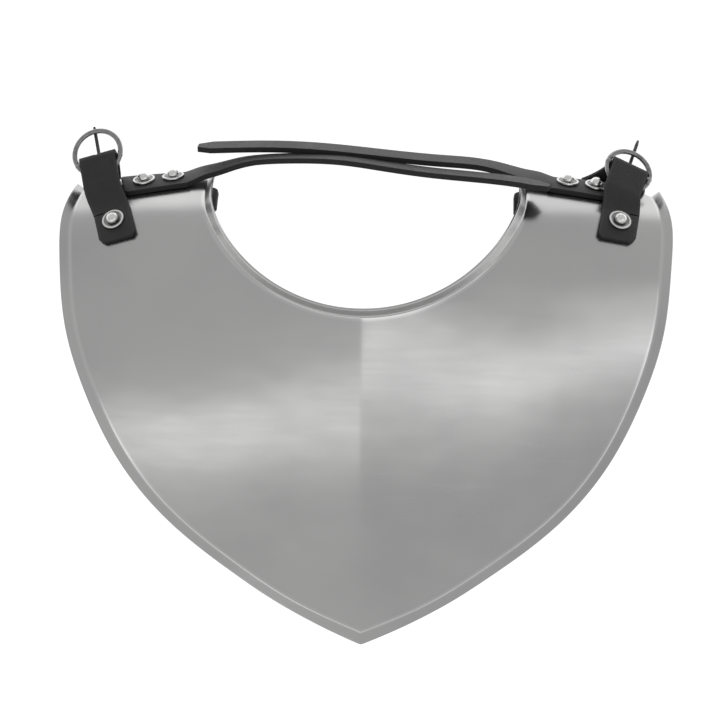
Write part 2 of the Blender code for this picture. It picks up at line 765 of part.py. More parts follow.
def main():
    for obj in list(bpy.data.objects):
        bpy.data.objects.remove(obj, do_unlink=True)
    home = collection_named("steel_gorget")
    cutters = collection_named("cutters")
    steel = principled("satin_steel", (0.60, 0.60, 0.60), 1.0, 0.30)
    leather = principled("black_leather", (0.020, 0.020, 0.021), 0.0, 0.52)
    bright = principled("bright_nickel", (0.78, 0.78, 0.76), 1.0, 0.18)
    dull = principled("grey_nickel", (0.42, 0.42, 0.41), 1.0, 0.30)
    dark = principled("dark_steel", (0.16, 0.16, 0.16), 1.0, 0.38)
    fittings = {"rivet": bright, "washer": bright}
    body = plate(home, steel)
    moved = []
    for shoulder in (LEFT, RIGHT):
        strip = strap(shoulder, home, leather)
        loop = tab(shoulder, home, leather)
        under = backing(shoulder, home, leather)
        for number, point in enumerate(shoulder.strap_rivets, 1):
            name = f"{shoulder.name}_strap_rivet_{number}"
            face, normal = rivet_set(name, shoulder, from_neck(point), STRAP_LEATHER, home, fittings)
            drill((body, strip, under), face, normal, cutters, f"{name}_hole")
        name = f"{shoulder.name}_tab_rivet"
        face, normal = rivet_set(name, shoulder, from_neck(shoulder.tab_rivet), LEATHER, home, fittings)
        drill((body, loop), face, normal, cutters, f"{name}_hole")
        moved.append(ring(shoulder, home, cutters, dull))
        moved.append(prong(shoulder, home, dark))
    root = settle(home)
    for cutter in cutters.objects:
        cutter.parent = root
    for obj in home.objects:
        if obj.type == "MESH":
            obj.data.shade_smooth()
            obj.data.set_sharp_from_angle(angle=math.radians(40))


main()
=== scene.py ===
"""Looks of a steel gorget's front plate with its leather neck straps and two ring buckles.

Every shape is a surface worked out as whole arrays: a sheet of points over two parameters that gets a wall,
a profile turned about an axis, or a circle carried along a path. Metres, +Z up, +Y from the plate's tip to
the buckles. The plate is described in sheet coordinates: across is the distance from the ridge, and along
the distance from the crest line of the shoulders, positive to the tip and negative over the shoulders' back.
"""

import logging
import math
from collections.abc import Callable
from dataclasses import dataclass, field
from enum import Enum

import bmesh
import bpy
import numpy as np
from mathutils import Matrix, Vector

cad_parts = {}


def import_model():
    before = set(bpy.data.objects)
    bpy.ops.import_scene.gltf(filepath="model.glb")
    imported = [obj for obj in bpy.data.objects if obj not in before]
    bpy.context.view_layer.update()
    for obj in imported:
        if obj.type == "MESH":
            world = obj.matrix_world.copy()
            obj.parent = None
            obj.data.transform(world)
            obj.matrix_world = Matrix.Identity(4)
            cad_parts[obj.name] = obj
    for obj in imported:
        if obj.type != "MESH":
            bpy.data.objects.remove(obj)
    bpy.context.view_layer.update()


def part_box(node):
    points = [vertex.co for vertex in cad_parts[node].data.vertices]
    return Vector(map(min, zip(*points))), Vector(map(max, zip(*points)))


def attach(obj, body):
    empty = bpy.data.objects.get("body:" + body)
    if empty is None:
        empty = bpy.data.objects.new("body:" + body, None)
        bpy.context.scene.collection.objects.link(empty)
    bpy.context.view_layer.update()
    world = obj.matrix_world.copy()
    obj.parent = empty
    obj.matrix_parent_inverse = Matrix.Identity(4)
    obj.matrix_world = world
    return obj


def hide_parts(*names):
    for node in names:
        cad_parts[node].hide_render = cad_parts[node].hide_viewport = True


LOG = logging.getLogger("gorget")
Array = np.ndarray
Sizes = tuple[float, ...]

HANDLE_SHARE = 0.36
SHEET_STEP = 1e-5
SHARP_ANGLE = math.radians(38)
SOFTENED_ANGLE = math.radians(50)
FLOOR_LEVEL = -0.0003


def grey(level: float, blue: float | None = None) -> Sizes:
    """A grey of one level, with a blue of its own if it isn't neutral."""
    return level, level, level if blue is None else blue


def unit(vectors: Array) -> Array:
    """Each vector divided by its length."""
    return vectors / np.maximum(np.linalg.norm(vectors, axis=-1, keepdims=True), 1e-12)


def squared(across: Array, run: Array) -> Array:
    """Each direction across with its share along the run taken away, as a unit vector."""
    return unit(across - run * np.sum(across * run, axis=-1, keepdims=True))


def arc_length(points: Array) -> Array:
    """The distance along a line of points, from 0 at its first."""
    return np.concatenate([[0.0], np.cumsum(np.linalg.norm(np.diff(points, axis=0), axis=1))])


def travelled(points: Array, axis: int) -> Array:
    """The distance along one axis of a grid of points, from 0 at its start."""
    first = np.take(points, [0], axis=axis)
    return np.linalg.norm(np.diff(points, axis=axis, prepend=first), axis=-1).cumsum(axis=axis)


def smoothstep(values: Array) -> Array:
    """3 t squared less 2 t cubed, with t held between 0 and 1."""
    held = np.clip(values, 0.0, 1.0)
    return held * held * (3 - 2 * held)


def spline(rows: Array, places: Array) -> Array:
    """A natural cubic through rows, by the length of their chords.

    Between two rows it is their straight mix plus (a cubed / h - a h) / 6 of each end's bend, where h is the
    chord and a the distance from the other end. The bends solve the usual three-band system.

    Args:
        rows: The points it passes through, one in each row.
        places: Where it is read, from 0 at the first row to 1 at the last.

    Returns:
        One point for each place.
    """
    rows = np.asarray(rows, float)
    knots = arc_length(rows)
    knots = knots / knots[-1]
    gaps = np.diff(knots)
    steps = np.diff(rows, axis=0) / gaps[:, None]
    inner = np.diag(2 * (gaps[:-1] + gaps[1:])) + np.diag(gaps[1:-1], 1) + np.diag(gaps[1:-1], -1)
    bend = np.zeros_like(rows)
    bend[1:-1] = np.linalg.solve(inner, 6 * np.diff(steps, axis=0))
    index = np.clip(np.searchsorted(knots, places, side="right") - 1, 0, len(rows) - 2)
    gap = gaps[index][:, None]
    before = knots[index + 1][:, None] - places[:, None]
    after = places[:, None] - knots[index][:, None]
    straight = rows[index] * before / gap + rows[index + 1] * after / gap
    low = bend[index] * (before**3 / gap - before * gap) / 6
    high = bend[index + 1] * (after**3 / gap - after * gap) / 6
    return straight + low + high


def cubic(start: Array, start_run: Array, end: Array, end_run: Array, shares: Array) -> Array:
    """Points of a Bezier cubic whose handles are HANDLE_SHARE of the distance between its ends.

    Args:
        start: Where it starts, one point or one for each place across.
        start_run: Its unit direction there.
        end: Where it ends.
        end_run: Its unit direction there.
        shares: Where it is read, from 0 to 1.

    Returns:
        An array of shares by the shape of the ends.
    """
    reach = np.linalg.norm(end - start, axis=-1, keepdims=True) * HANDLE_SHARE
    first, second = start + start_run * reach, end - end_run * reach
    t = shares.reshape((-1,) + (1,) * np.ndim(start))
    return start * (1 - t) ** 3 + first * 3 * (1 - t) ** 2 * t + second * 3 * (1 - t) * t * t + end * t**3


class Value:
    """A number on a shader's socket, so that shader maths reads as Python."""

    def __init__(self, tree: "Tree", socket: bpy.types.NodeSocket) -> None:
        """Keeps the tree and the socket."""
        self.tree = tree
        self.socket = socket

    def combined(self, operation: str, first: object, second: object) -> "Value":
        """One Math node on two values.

        Args:
            operation: The node's operation.
            first: A value or a number.
            second: A value or a number.

        Returns:
            The node's result.
        """
        made = self.tree.node("ShaderNodeMath", {"operation": operation}, {0: first, 1: second})
        return Value(self.tree, made.outputs[0])

    def __add__(self, other: object) -> "Value":
        """self + other."""
        return self.combined("ADD", self, other)

    __radd__ = __add__

    def __mul__(self, other: object) -> "Value":
        """self * other."""
        return self.combined("MULTIPLY", self, other)

    __rmul__ = __mul__

    def __sub__(self, other: object) -> "Value":
        """self - other."""
        return self.combined("SUBTRACT", self, other)

    def __rsub__(self, other: object) -> "Value":
        """other - self."""
        return self.combined("SUBTRACT", other, self)

    def between(self, low: float, high: float) -> "Value":
        """0 at low and 1 at high, smoothly, and held there beyond them."""
        inputs = {"Value": self, "From Min": low, "From Max": high}
        made = self.tree.node("ShaderNodeMapRange", {"interpolation_type": "SMOOTHSTEP"}, inputs)
        return Value(self.tree, made.outputs["Result"])


class Tree:
    """A material's nodes, each made by one method."""

    def __init__(self, name: str) -> None:
        """Starts a material with only its output and a Principled shader."""
        self.material = bpy.data.materials.new(name)
        self.material.use_nodes = True
        self.nodes = self.material.node_tree.nodes
        self.links = self.material.node_tree.links
        self.shader = self.nodes["Principled BSDF"]

    def node(self, kind: str, settings: dict[str, object], inputs: dict[object, object]) -> bpy.types.Node:
        """Makes one node.

        Args:
            kind: The node's type.
            settings: Its own settings, set before its sockets.
            inputs: A value or link for each socket that is set, by name or number.

        Returns:
            The node.
        """
        made = self.nodes.new(kind)
        for key, setting in settings.items():
            setattr(made, key, setting)
        for key, given in inputs.items():
            self.feed(made.inputs[key], given)
        return made

    def feed(self, socket: bpy.types.NodeSocket, given: object) -> None:
        """Links a value or an output to a socket, or sets the number or colour on it."""
        source = given.socket if isinstance(given, Value) else given
        if isinstance(source, bpy.types.NodeSocket):
            self.links.new(source, socket)
        elif socket.type == "RGBA":
            socket.default_value = (*source[:3], 1.0)
        else:
            socket.default_value = source

    def object_place(
        self, stretch: Sizes = (1.0, 1.0, 1.0), turn: Sizes = (0.0, 0.0, 0.0)
    ) -> bpy.types.NodeSocket:
        """Object coordinates, turned and stretched by a Mapping node."""
        source = self.node("ShaderNodeTexCoord", {}, {}).outputs["Object"]
        inputs = {"Vector": source, "Scale": stretch, "Rotation": turn}
        return self.node("ShaderNodeMapping", {}, inputs).outputs["Vector"]

    def attribute(self, name: str) -> Value:
        """One of the piece's own numbers."""
        found = self.node("ShaderNodeAttribute", {"attribute_name": name}, {})
        return Value(self, found.outputs["Fac"])

    def noise(
        self, place: bpy.types.NodeSocket, scale: float, detail: float = 2.0, rough: float = 0.5
    ) -> Value:
        """Noise between 0 and 1 at places, with scale cells in a metre."""
        inputs = {"Vector": place, "Scale": scale, "Detail": detail, "Roughness": rough}
        return Value(self, self.node("ShaderNodeTexNoise", {}, inputs).outputs[0])

    def cells(self, place: bpy.types.NodeSocket, scale: float) -> Value:
        """The distance to the nearest cell border of a Voronoi pattern."""
        inputs = {"Vector": place, "Scale": scale}
        made = self.node("ShaderNodeTexVoronoi", {"feature": "DISTANCE_TO_EDGE"}, inputs)
        return Value(self, made.outputs[0])

    def mixed(self, share: object, low: object, high: object) -> bpy.types.NodeSocket:
        """A colour between low, at share 0, and high, at share 1."""
        inputs = {"Factor": share, 6: low, 7: high}
        return self.node("ShaderNodeMix", {"data_type": "RGBA"}, inputs).outputs[2]

    def bumped(
        self, height: Value, distance: float, strength: float = 1.0, under: bpy.types.NodeSocket | None = None
    ) -> bpy.types.NodeSocket:
        """The normal that a height from 0 to 1 gives when 1 stands for distance.

        Args:
            height: The height.
            distance: How many metres 1 stands for.
            strength: The share of the bump that shows.
            under: A coarser bump that this one lies on, if there is one.

        Returns:
            The normal.
        """
        inputs = {"Height": height, "Distance": distance, "Strength": strength}
        if under is not None:
            inputs["Normal"] = under
        return self.node("ShaderNodeBump", {}, inputs).outputs["Normal"]

    def dress(self, **inputs: object) -> bpy.types.Material:
        """Feeds the shader's sockets, named with _ for each space, and returns the material."""
        for key, given in inputs.items():
            self.feed(self.shader.inputs[key.replace("_", " ")], given)
        return self.material


class Grain(Enum):
    """Which way a leather piece's surface was finished."""

    STRAP = "strap"
    CUT_EDGE = "cut_edge"


@dataclass(frozen=True)
class SatinSteel:
    """Sheet steel, satin-polished by hand: soft clouds, short polishing marks, and a painted highlight along
    the creases, which are also a little smoother.
    """

    colour: Sizes = grey(0.585, 0.580)
    crease_highlight_colour: Sizes = grey(0.74, 0.735)
    stained_colour: Sizes = grey(0.50)
    roughness: float = 0.25
    cloud: float = 9.0
    marks: float = 260.0

    def material(self) -> bpy.types.Material:
        """Builds the finish."""
        tree = Tree("satin_steel")
        cloud = tree.noise(tree.object_place(), self.cloud, 3.0, 0.55)
        hammered = tree.noise(tree.object_place((1.0, 1.5, 1.0)), 16.0, 2.0, 0.45)
        marks = tree.noise(tree.object_place((1.0, 9.0, 1.0)), self.marks / 9, 4.0, 0.6)
        fine = tree.noise(tree.object_place((1.0, 5.0, 1.0), (0.0, 0.0, 0.35)), self.marks, 2.0, 0.6)
        # painted highlight: the base colour turns lighter within about 2 mm of the neck and rim creases
        crease = 1.0 - tree.attribute("crease").between(0.0, 0.0022)
        stained = tree.mixed(cloud.between(0.35, 0.75), self.colour, self.stained_colour)
        base = tree.mixed(crease * 0.45, stained, self.crease_highlight_colour)
        rough = self.roughness + (marks - 0.5) * 0.10 + (cloud - 0.5) * 0.08 - crease * 0.06
        height = marks * 0.6 + fine * 0.4
        waved = tree.bumped(hammered, 0.0009, 0.6)
        scratched = tree.bumped(height, 0.00001, 0.35, waved)
        return tree.dress(Base_Color=base, Metallic=1.0, Roughness=rough, Normal=scratched)


@dataclass(frozen=True)
class BlackLeather:
    """Black strap leather with a fine grain, a waxed sheen, dark cut edges and a painted highlight along its
    long edges.
    """

    grain: Grain = Grain.STRAP
    colour: Sizes = grey(0.017, 0.018)
    edge_highlight_colour: Sizes = grey(0.040, 0.041)
    edge_colour: Sizes = grey(0.009)
    pore: float = 1300.0
    roughness: float = 0.46

    def material(self) -> bpy.types.Material:
        """Builds the finish."""
        tree = Tree(f"black_leather_{self.grain.value}")
        place = tree.object_place()
        pores = tree.cells(place, self.pore).between(0.0, 0.22)
        wrinkles = tree.noise(place, self.pore / 6, 4.0, 0.62)
        patches = tree.noise(place, 70.0, 3.0, 0.6)
        if self.grain is Grain.CUT_EDGE:
            fibres = tree.noise(tree.object_place((1.0, 1.0, 6.0)), 420.0, 3.0, 0.7)
            colour = tree.mixed(fibres, self.edge_colour, self.colour)
            return tree.dress(
                Base_Color=colour, Roughness=0.62 + patches * 0.2, Normal=tree.bumped(fibres, 0.0002, 0.6)
            )
        # painted highlight: the leather turns lighter within about 2 mm of its long edges; the patches are
        # random tone
        edge_highlight = 1.0 - tree.attribute("edge").between(0.0004, 0.0018)
        share = patches.between(0.45, 0.8) * 0.45 + edge_highlight * 0.5
        colour = tree.mixed(share, self.colour, self.edge_highlight_colour)
        rough = self.roughness + (1.0 - pores) * 0.16 + (patches - 0.5) * 0.16
        height = pores * 0.55 + wrinkles * 0.45
        return tree.dress(Base_Color=colour, Roughness=rough, Normal=tree.bumped(height, 0.00016, 0.7))


@dataclass(frozen=True)
class Plated:
    """Plated or bare metal of the small fittings, with handling marks, and a painted highlight on a washer's
    rim where a rim colour is given.
    """

    name: str
    colour: Sizes
    dull_colour: Sizes
    roughness: float
    rim_highlight_colour: Sizes = grey(0.0)
    dent: float = 0.00012
    marks: float = 900.0

    def material(self) -> bpy.types.Material:
        """Builds the finish."""
        tree = Tree(self.name)
        spots = tree.noise(tree.object_place(), self.marks / 3, 3.0, 0.6)
        fine = tree.noise(tree.object_place(), self.marks * 2, 2.0, 0.6)
        colour = tree.mixed(spots.between(0.45, 0.75), self.colour, self.dull_colour)
        if max(self.rim_highlight_colour) > 0:
            # painted highlight: the outer rim of a washer is coloured bright
            rim = tree.attribute("rim")
            colour = tree.mixed(rim.between(0.80, 0.88), colour, self.rim_highlight_colour)
        rough = self.roughness + (spots - 0.5) * 0.16
        height = spots * 0.7 + fine * 0.3
        return tree.dress(
            Base_Color=colour, Metallic=1.0, Roughness=rough, Normal=tree.bumped(height, self.dent, 0.6)
        )


def add_piece(
    name: str, points: Array, faces: Array, materials: list[bpy.types.Material]
) -> bpy.types.Object:
    """Makes a smooth-shaded mesh object at the origin.

    Args:
        name: The piece's name.
        points: Its vertices, as n by 3.
        faces: Its quads, as rows of four vertex numbers.
        materials: Its material slots, in order.

    Returns:
        The object, linked into the scene.
    """
    mesh = bpy.data.meshes.new(name)
    mesh.vertices.add(len(points))
    mesh.vertices.foreach_set("co", np.asarray(points, np.float32).ravel())
    mesh.loops.add(faces.size)
    mesh.loops.foreach_set("vertex_index", faces.astype(np.int32).ravel())
    mesh.polygons.add(len(faces))
    mesh.polygons.foreach_set("loop_start", np.arange(len(faces), dtype=np.int32) * 4)
    mesh.polygons.foreach_set("use_smooth", np.ones(len(faces), bool))
    mesh.update(calc_edges=True)
    mesh.validate()
    for material in materials:
        mesh.materials.append(material)
    obj = bpy.data.objects.new(name, mesh)
    bpy.context.scene.collection.objects.link(obj)
    return obj


def grid_faces(rows: int, columns: int, closed: bool = False) -> Array:
    """The quads between neighbouring points of a grid.

    Args:
        rows: How many rows of points the grid has.
        columns: How many points each row has.
        closed: Whether each row's last point joins its first.

    Returns:
        Rows of four point numbers, in an array of rows by columns by 4.
    """
    across = np.arange(columns if closed else columns - 1)
    first = np.arange(rows - 1)[:, None] * columns
    here, there = first + across, first + (across + 1) % columns
    return np.stack([here, there, there + columns, here + columns], -1)


@dataclass
class Sheet:
    """A surface of points over two parameters that gets a wall with softened edges.

    An even wall keeps its thickness where the surface bends.
    Tight folds need the other kind, which gives no spikes.
    """

    name: str
    points: Array
    thickness: float
    offset: float
    softening: float
    materials: list[bpy.types.Material]
    open_faces: Array | None = None
    numbers: dict[str, Array] = field(default_factory=dict)
    edge_slot: int = 0
    even: bool = True

    def build(self) -> bpy.types.Object:
        """Makes the mesh with its UV map in metres, its numbers, its wall and its softened edges."""
        rows, columns = self.points.shape[:2]
        faces = grid_faces(rows, columns)
        if self.open_faces is not None:
            faces = faces[~self.open_faces]
        faces = faces.reshape(-1, 4)
        made = add_piece(self.name, self.points.reshape(-1, 3), faces, self.materials)
        run, width = travelled(self.points, 0), travelled(self.points, 1)
        places = np.stack([run.mean(axis=1, keepdims=True) + 0 * width, width], -1).reshape(-1, 2)
        layer = made.data.uv_layers.new(name="sheet")
        loops = np.empty(len(made.data.loops), np.int32)
        made.data.loops.foreach_get("vertex_index", loops)
        layer.data.foreach_set("uv", places[loops].astype(np.float32).ravel())
        for key, numbers in self.numbers.items():
            store = made.data.attributes.new(key, "FLOAT", "POINT")
            store.data.foreach_set("value", numbers.astype(np.float32).ravel())
        wall = made.modifiers.new("wall", "SOLIDIFY")
        wall.thickness, wall.offset = self.thickness, self.offset
        wall.use_even_offset = self.even
        wall.material_offset_rim = self.edge_slot
        soft = made.modifiers.new("soft_edges", "BEVEL")
        soft.width, soft.segments = self.softening, 3
        soft.limit_method, soft.angle_limit = "ANGLE", SOFTENED_ANGLE
        soft.use_clamp_overlap = True
        return made


@dataclass(frozen=True)
class Shell:
    """The plate's outer face as a function of across and along.

    Its height is the ridge's height, which falls with the distance from the crest by a slope and a square,
    less the sides' fall, which is a slope rounded at the ridge plus a square. Towards the shoulders the slope
    levels out by an exponential. Behind the crest line the sheet follows a circle of the shoulders' radius.
    """

    ridge_rise: float = 0.0820
    ridge_slope: float = 0.225
    ridge_rounding: float = 0.0022
    tip_reach: float = 0.1943
    tip_rise: float = 0.0012
    side_slope: float = 0.14
    side_curve: float = 0.60
    shoulder_radius: float = 0.0660
    shoulder_level_across: float = 0.1100
    levelling_length: float = 0.0400
    crest_softness: float = 0.0140

    def face(self, across: Array, along: Array) -> Array:
        """Points of the outer face, before the part is set down."""
        over = (np.hypot(along, self.crest_softness) - along) / 2
        down = along + over
        turn = over / self.shoulder_radius
        back = self.shoulder_radius * np.sin(turn)
        roll = self.shoulder_radius * (1 - np.cos(turn))
        fall = self.ridge_rise - self.tip_rise - self.ridge_slope * self.tip_reach
        ridge = self.ridge_rise - self.ridge_slope * down - fall * (down / self.tip_reach) ** 2
        rounding = self.ridge_rounding
        sides = self.side_slope * (np.hypot(across, rounding) - rounding) + self.side_curve * across**2
        level = self.ridge_slope * smoothstep(np.abs(across) / self.shoulder_level_across)
        levelled = level * self.levelling_length * (1 - np.exp(-down / self.levelling_length))
        height = ridge - sides + levelled + (self.ridge_slope - level) * back - roll
        return np.stack([across + 0 * height, back - down, height], -1)

    def normal(self, across: Array, along: Array) -> Array:
        """Unit normals of the outer face: the cross product of its two differences."""
        over_x = self.face(across + SHEET_STEP, along) - self.face(across - SHEET_STEP, along)
        over_y = self.face(across, along - SHEET_STEP) - self.face(across, along + SHEET_STEP)
        return unit(np.cross(over_x, over_y))

    def raised(self, place: Array, lift: float | Array, side: float = 1.0) -> Array:
        """Points at a height from the outer face.

        Args:
            place: Sheet coordinates, across and along, in the last axis.
            lift: The distance from the face, away from the wearer.
            side: 1 for the right shoulder and -1 for the left.

        Returns:
            The points.
        """
        across, along = place[..., 0], place[..., 1]
        return (self.face(across, along) + self.normal(across, along) * lift) * np.array([side, 1.0, 1.0])

    def heading(self, place: Array, direction: Array, side: float) -> Array:
        """The unit direction in space of a direction in the sheet."""
        step = direction * SHEET_STEP
        return unit(self.raised(place + step, 0.0, side) - self.raised(place - step, 0.0, side))


@dataclass
class Plate:
    """The steel plate: the shell between the creases of neck and rim, with a flange turned out at each."""

    shell: Shell
    seat: Array
    steel: bpy.types.Material
    thickness: float = 0.0012
    half_width: float = 0.1658
    back: float = 0.0690
    neck_half_width: float = 0.0905
    neck_front: float = 0.0160
    neck_depth: float = 0.0762
    neck_power: float = 1.93
    neck_back: float = 0.0900
    back_bulge: float = 0.0110
    rim_flange: float = 0.0060
    tip_flange: float = 0.0071
    rim_angle: float = math.radians(35)
    neck_flange: float = 0.0085
    neck_flange_back: float = 0.0050
    neck_angle: float = math.radians(50)
    neck_angle_back: float = math.radians(30)
    bend: float = 0.0020
    softening: float = 0.0003
    tip_turn_share: float = 0.004
    tip_flange_share: float = 0.14
    tip_point: float = 0.0004
    outline_rows: tuple[tuple[float, float], ...] = (
        (0.00, 0.000),
        (0.07, 0.236),
        (0.15, 0.425),
        (0.27, 0.656),
        (0.39, 0.805),
        (0.52, 0.904),
        (0.66, 0.971),
        (0.80, 0.994),
        (0.90, 1.000),
        (1.00, 0.970),
    )

    def outline(self, places: Array) -> Array:
        """The rim's crease, tip to back edge: a spline through shares of its length and half width."""
        length = self.shell.tip_reach + self.back
        rows = np.array(self.outline_rows)
        table = np.stack([rows[:, 1] * self.half_width, self.shell.tip_reach - rows[:, 0] * length], 1)
        return spline(table, places)

    def neckline(self, places: Array) -> Array:
        """The neck's crease: a quarter of a superellipse, then straight to the back edge."""
        turn = np.linspace(0, math.pi / 2, 241)
        centre = self.neck_front - self.neck_depth
        across = self.neck_half_width * np.sin(turn) ** (2 / self.neck_power)
        along = centre + self.neck_depth * np.cos(turn) ** (2 / self.neck_power)
        line = np.stack([across, along], 1)
        line = np.concatenate([line, [[self.neck_half_width, -self.neck_back]]])
        reach = arc_length(line)
        return np.stack([np.interp(places, reach / reach[-1], line[:, i]) for i in range(2)], 1)

    def back_edge(self, across: Array) -> Array:
        """How far along the sheet the back edge lies: straight between its corners less a parabola."""
        outer = self.outline(np.array([1.0]))[0]
        share = (across - self.neck_half_width) / (outer[0] - self.neck_half_width)
        straight = -self.neck_back + share * (outer[1] + self.neck_back)
        return straight - self.back_bulge * 4 * share * (1 - share)

    def flange(self, creases: Array, away: Array, width: Array, angle: Array, count: int) -> Array:
        """Points from a crease to its flange's edge: round a bend of one radius, then straight.

        Args:
            creases: The crease in sheet coordinates.
            away: The unit directions in the sheet off the plate.
            width: The flange's width at each place.
            angle: How far it turns up at each place.
            count: How many points the straight part takes.

        Returns:
            An array of places by points by 3, without the crease itself.
        """
        start = self.shell.face(creases[:, 0], creases[:, 1])
        normal = self.shell.normal(creases[:, 0], creases[:, 1])
        ahead = creases + away * SHEET_STEP
        run = squared(self.shell.face(ahead[:, 0], ahead[:, 1]) - start, normal)
        turns = np.linspace(0, 1, 7)[1:, None] * angle
        arc = self.bend * (np.sin(turns)[..., None] * run + (1 - np.cos(turns))[..., None] * normal)
        rest = np.linspace(0, 1, count + 1)[1:, None] * (width - self.bend * angle)
        straight = rest[..., None] * (np.cos(angle)[:, None] * run + np.sin(angle)[:, None] * normal)
        return start[:, None] + np.concatenate([arc, arc[-1] + straight]).transpose(1, 0, 2)

    def places(self) -> Array:
        """Shares round the plate from the left back edge to the right, close together at the tip."""
        turn = self.tip_turn_share
        near = np.concatenate([np.linspace(0, turn, 7)[:-1], np.linspace(turn, 0.03, 9)[:-1]])
        half = np.concatenate([near, np.linspace(0.03, 1.0, 150)])
        return np.concatenate([-half[:0:-1], half])

    def outward(self, share: Array, line: Callable[[Array], Array], sign: int) -> Array:
        """The unit directions square to a crease in the sheet, off the plate."""
        step = 1e-4
        run = line(np.minimum(share + step, 1.0)) - line(np.maximum(share - step, 0.0))
        return unit(np.stack([run[:, 1], -run[:, 0]], 1) * sign)

    def build(self) -> bpy.types.Object:
        """Makes the plate, which stands for the CAD plate."""
        places = self.places()
        side, share = np.sign(places), np.abs(places)
        mirror = np.where(side == 0, 1.0, side)[:, None]
        neck = self.neckline(share)
        rim = self.outline(share)
        middle = len(places) // 2
        neck_away, rim_away = self.outward(share, self.neckline, 1), self.outward(share, self.outline, -1)
        neck_away[middle] = 0.0, -1.0
        turned = np.clip(share / self.tip_turn_share, 0, 1)[:, None]
        rim_away = unit(np.array([0.0, 1.0]) * (1 - turned) + rim_away * turned)
        neck_width = self.neck_flange + (self.neck_flange_back - self.neck_flange) * share**2
        neck_angle = self.neck_angle + (self.neck_angle_back - self.neck_angle) * share**2
        near_tip = 1 - smoothstep(share / self.tip_flange_share)
        rim_width = self.rim_flange + (self.tip_flange - self.rim_flange) * near_tip
        rim_width = rim_width + self.tip_point * (1 - turned[:, 0])
        inner = self.flange(neck, neck_away, neck_width, neck_angle, 4)[:, ::-1]
        outer = self.flange(rim, rim_away, rim_width, np.full(len(share), self.rim_angle), 4)
        mix = np.linspace(0, 1, 64)[None, :, None]
        sheet = neck[:, None] * (1 - mix) + rim[:, None] * mix
        bulge = self.back_bulge * 4 * mix[..., 0] * (1 - mix[..., 0]) * share[:, None] ** 4
        body = self.shell.face(sheet[..., 0], sheet[..., 1] - bulge)
        points = np.concatenate([inner, body, outer], axis=1)
        points[..., 0] *= mirror
        points[middle, :, 0] = 0.0
        width = travelled(points, 1)
        first, last = inner.shape[1], points.shape[1] - outer.shape[1] - 1
        from_neck = np.abs(width - width[:, first : first + 1])
        crease = np.minimum(from_neck, np.abs(width - width[:, last : last + 1]))
        skin = Sheet("steel_plate", points + self.seat, self.thickness, -1.0, self.softening, [self.steel])
        # distance from the nearest crease, which places the steel's painted highlight along the creases
        skin.numbers["crease"] = crease
        made = skin.build()
        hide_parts("gorget_plate")
        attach(made, "gorget")
        return made


class Side(Enum):
    """A shoulder as seen in the view from above, with the sign of its across coordinate."""

    LEFT = -1.0
    RIGHT = 1.0

    @property
    def word(self) -> str:
        """The side's name as nodes carry it."""
        return self.name.lower()


@dataclass(frozen=True)
class Shoulder:
    """Where one shoulder's leather and buckle lie, in sheet coordinates and angles from above."""

    side: Side
    strap_end: Sizes
    strap_rivets: tuple[Sizes, ...]
    strap_leave: Sizes
    strap_rows: tuple[Sizes, ...]
    tab_rivet: Sizes
    tab_lean: float
    bar_place: Sizes
    bar_yaw: float
    bar_slope: float
    strap_lean: float
    ring_shift: float
    prong_reach: float
    tab_flare: float = 0.0
    ring_outer: float = 0.0300
    bar_drop: float = math.radians(6)

    def bar_centre(self) -> Array:
        """The middle of the buckle's bar, before the part is set down."""
        out, back, rise = self.bar_place
        return np.array([self.side.value * out, back, rise])

    def bar_frame(self) -> tuple[Array, Array, Array]:
        """The bar's direction, the direction out of the fold, and the fold's upper normal."""
        yaw, drop = -self.side.value * self.bar_yaw, self.side.value * self.bar_drop
        flat = np.array([math.cos(yaw), math.sin(yaw), 0.0])
        bar = unit(flat * math.cos(drop) - np.array([0.0, 0.0, 1.0]) * math.sin(drop))
        ahead = np.array([-math.sin(yaw), math.cos(yaw), 0.0])
        out = ahead * math.cos(self.bar_slope) - np.array([0.0, 0.0, 1.0]) * math.sin(self.bar_slope)
        out = squared(out, bar)
        return bar, out, unit(np.cross(bar, out))


LEFT = Shoulder(
    side=Side.LEFT,
    strap_end=(0.1382, -0.0691),
    strap_rivets=((0.1260, -0.0725), (0.1095, -0.0775)),
    strap_leave=(0.1030, -0.0790),
    strap_rows=(
        (1.045, 1.000, 0.240),
        (0.946, 1.036, 0.250),
        (0.793, 1.092, 0.268),
        (0.628, 1.122, 0.293),
        (0.462, 1.130, 0.317),
        (0.285, 1.128, 0.341),
        (0.159, 1.117, 0.360),
        (-0.093, 1.070, 0.390),
        (-0.405, 1.010, 0.450),
        (-0.715, 0.968, 0.510),
        (-0.991, 0.918, 0.560),
        (-1.126, 0.880, 0.585),
    ),
    tab_rivet=(0.1399, -0.0384),
    tab_lean=math.radians(16.5),
    bar_place=(0.1523, 0.0722, 0.0205),
    bar_yaw=math.radians(15.7),
    bar_slope=math.radians(20),
    strap_lean=math.radians(13.5),
    ring_shift=0.0050,
    prong_reach=0.0224,
)
RIGHT = Shoulder(
    side=Side.RIGHT,
    strap_end=(0.1360, -0.0712),
    strap_rivets=((0.1290, -0.0735), (0.1130, -0.0775)),
    strap_leave=(0.1050, -0.0790),
    strap_rows=(
        (1.060, 1.000, 0.230),
        (0.994, 1.018, 0.225),
        (0.838, 1.074, 0.212),
        (0.712, 1.109, 0.202),
        (0.461, 1.139, 0.183),
        (0.083, 1.185, 0.165),
        (-0.296, 1.233, 0.149),
        (-0.639, 1.248, 0.140),
        (-0.870, 1.240, 0.137),
        (-1.070, 1.229, 0.136),
    ),
    tab_rivet=(0.1411, -0.0426),
    tab_lean=math.radians(10),
    bar_place=(0.1478, 0.0708, 0.0165),
    bar_yaw=math.radians(24),
    bar_slope=math.radians(34),
    strap_lean=math.radians(16.5),
    ring_shift=0.0,
    prong_reach=0.0250,
    tab_flare=0.0160,
    ring_outer=0.0285,
)


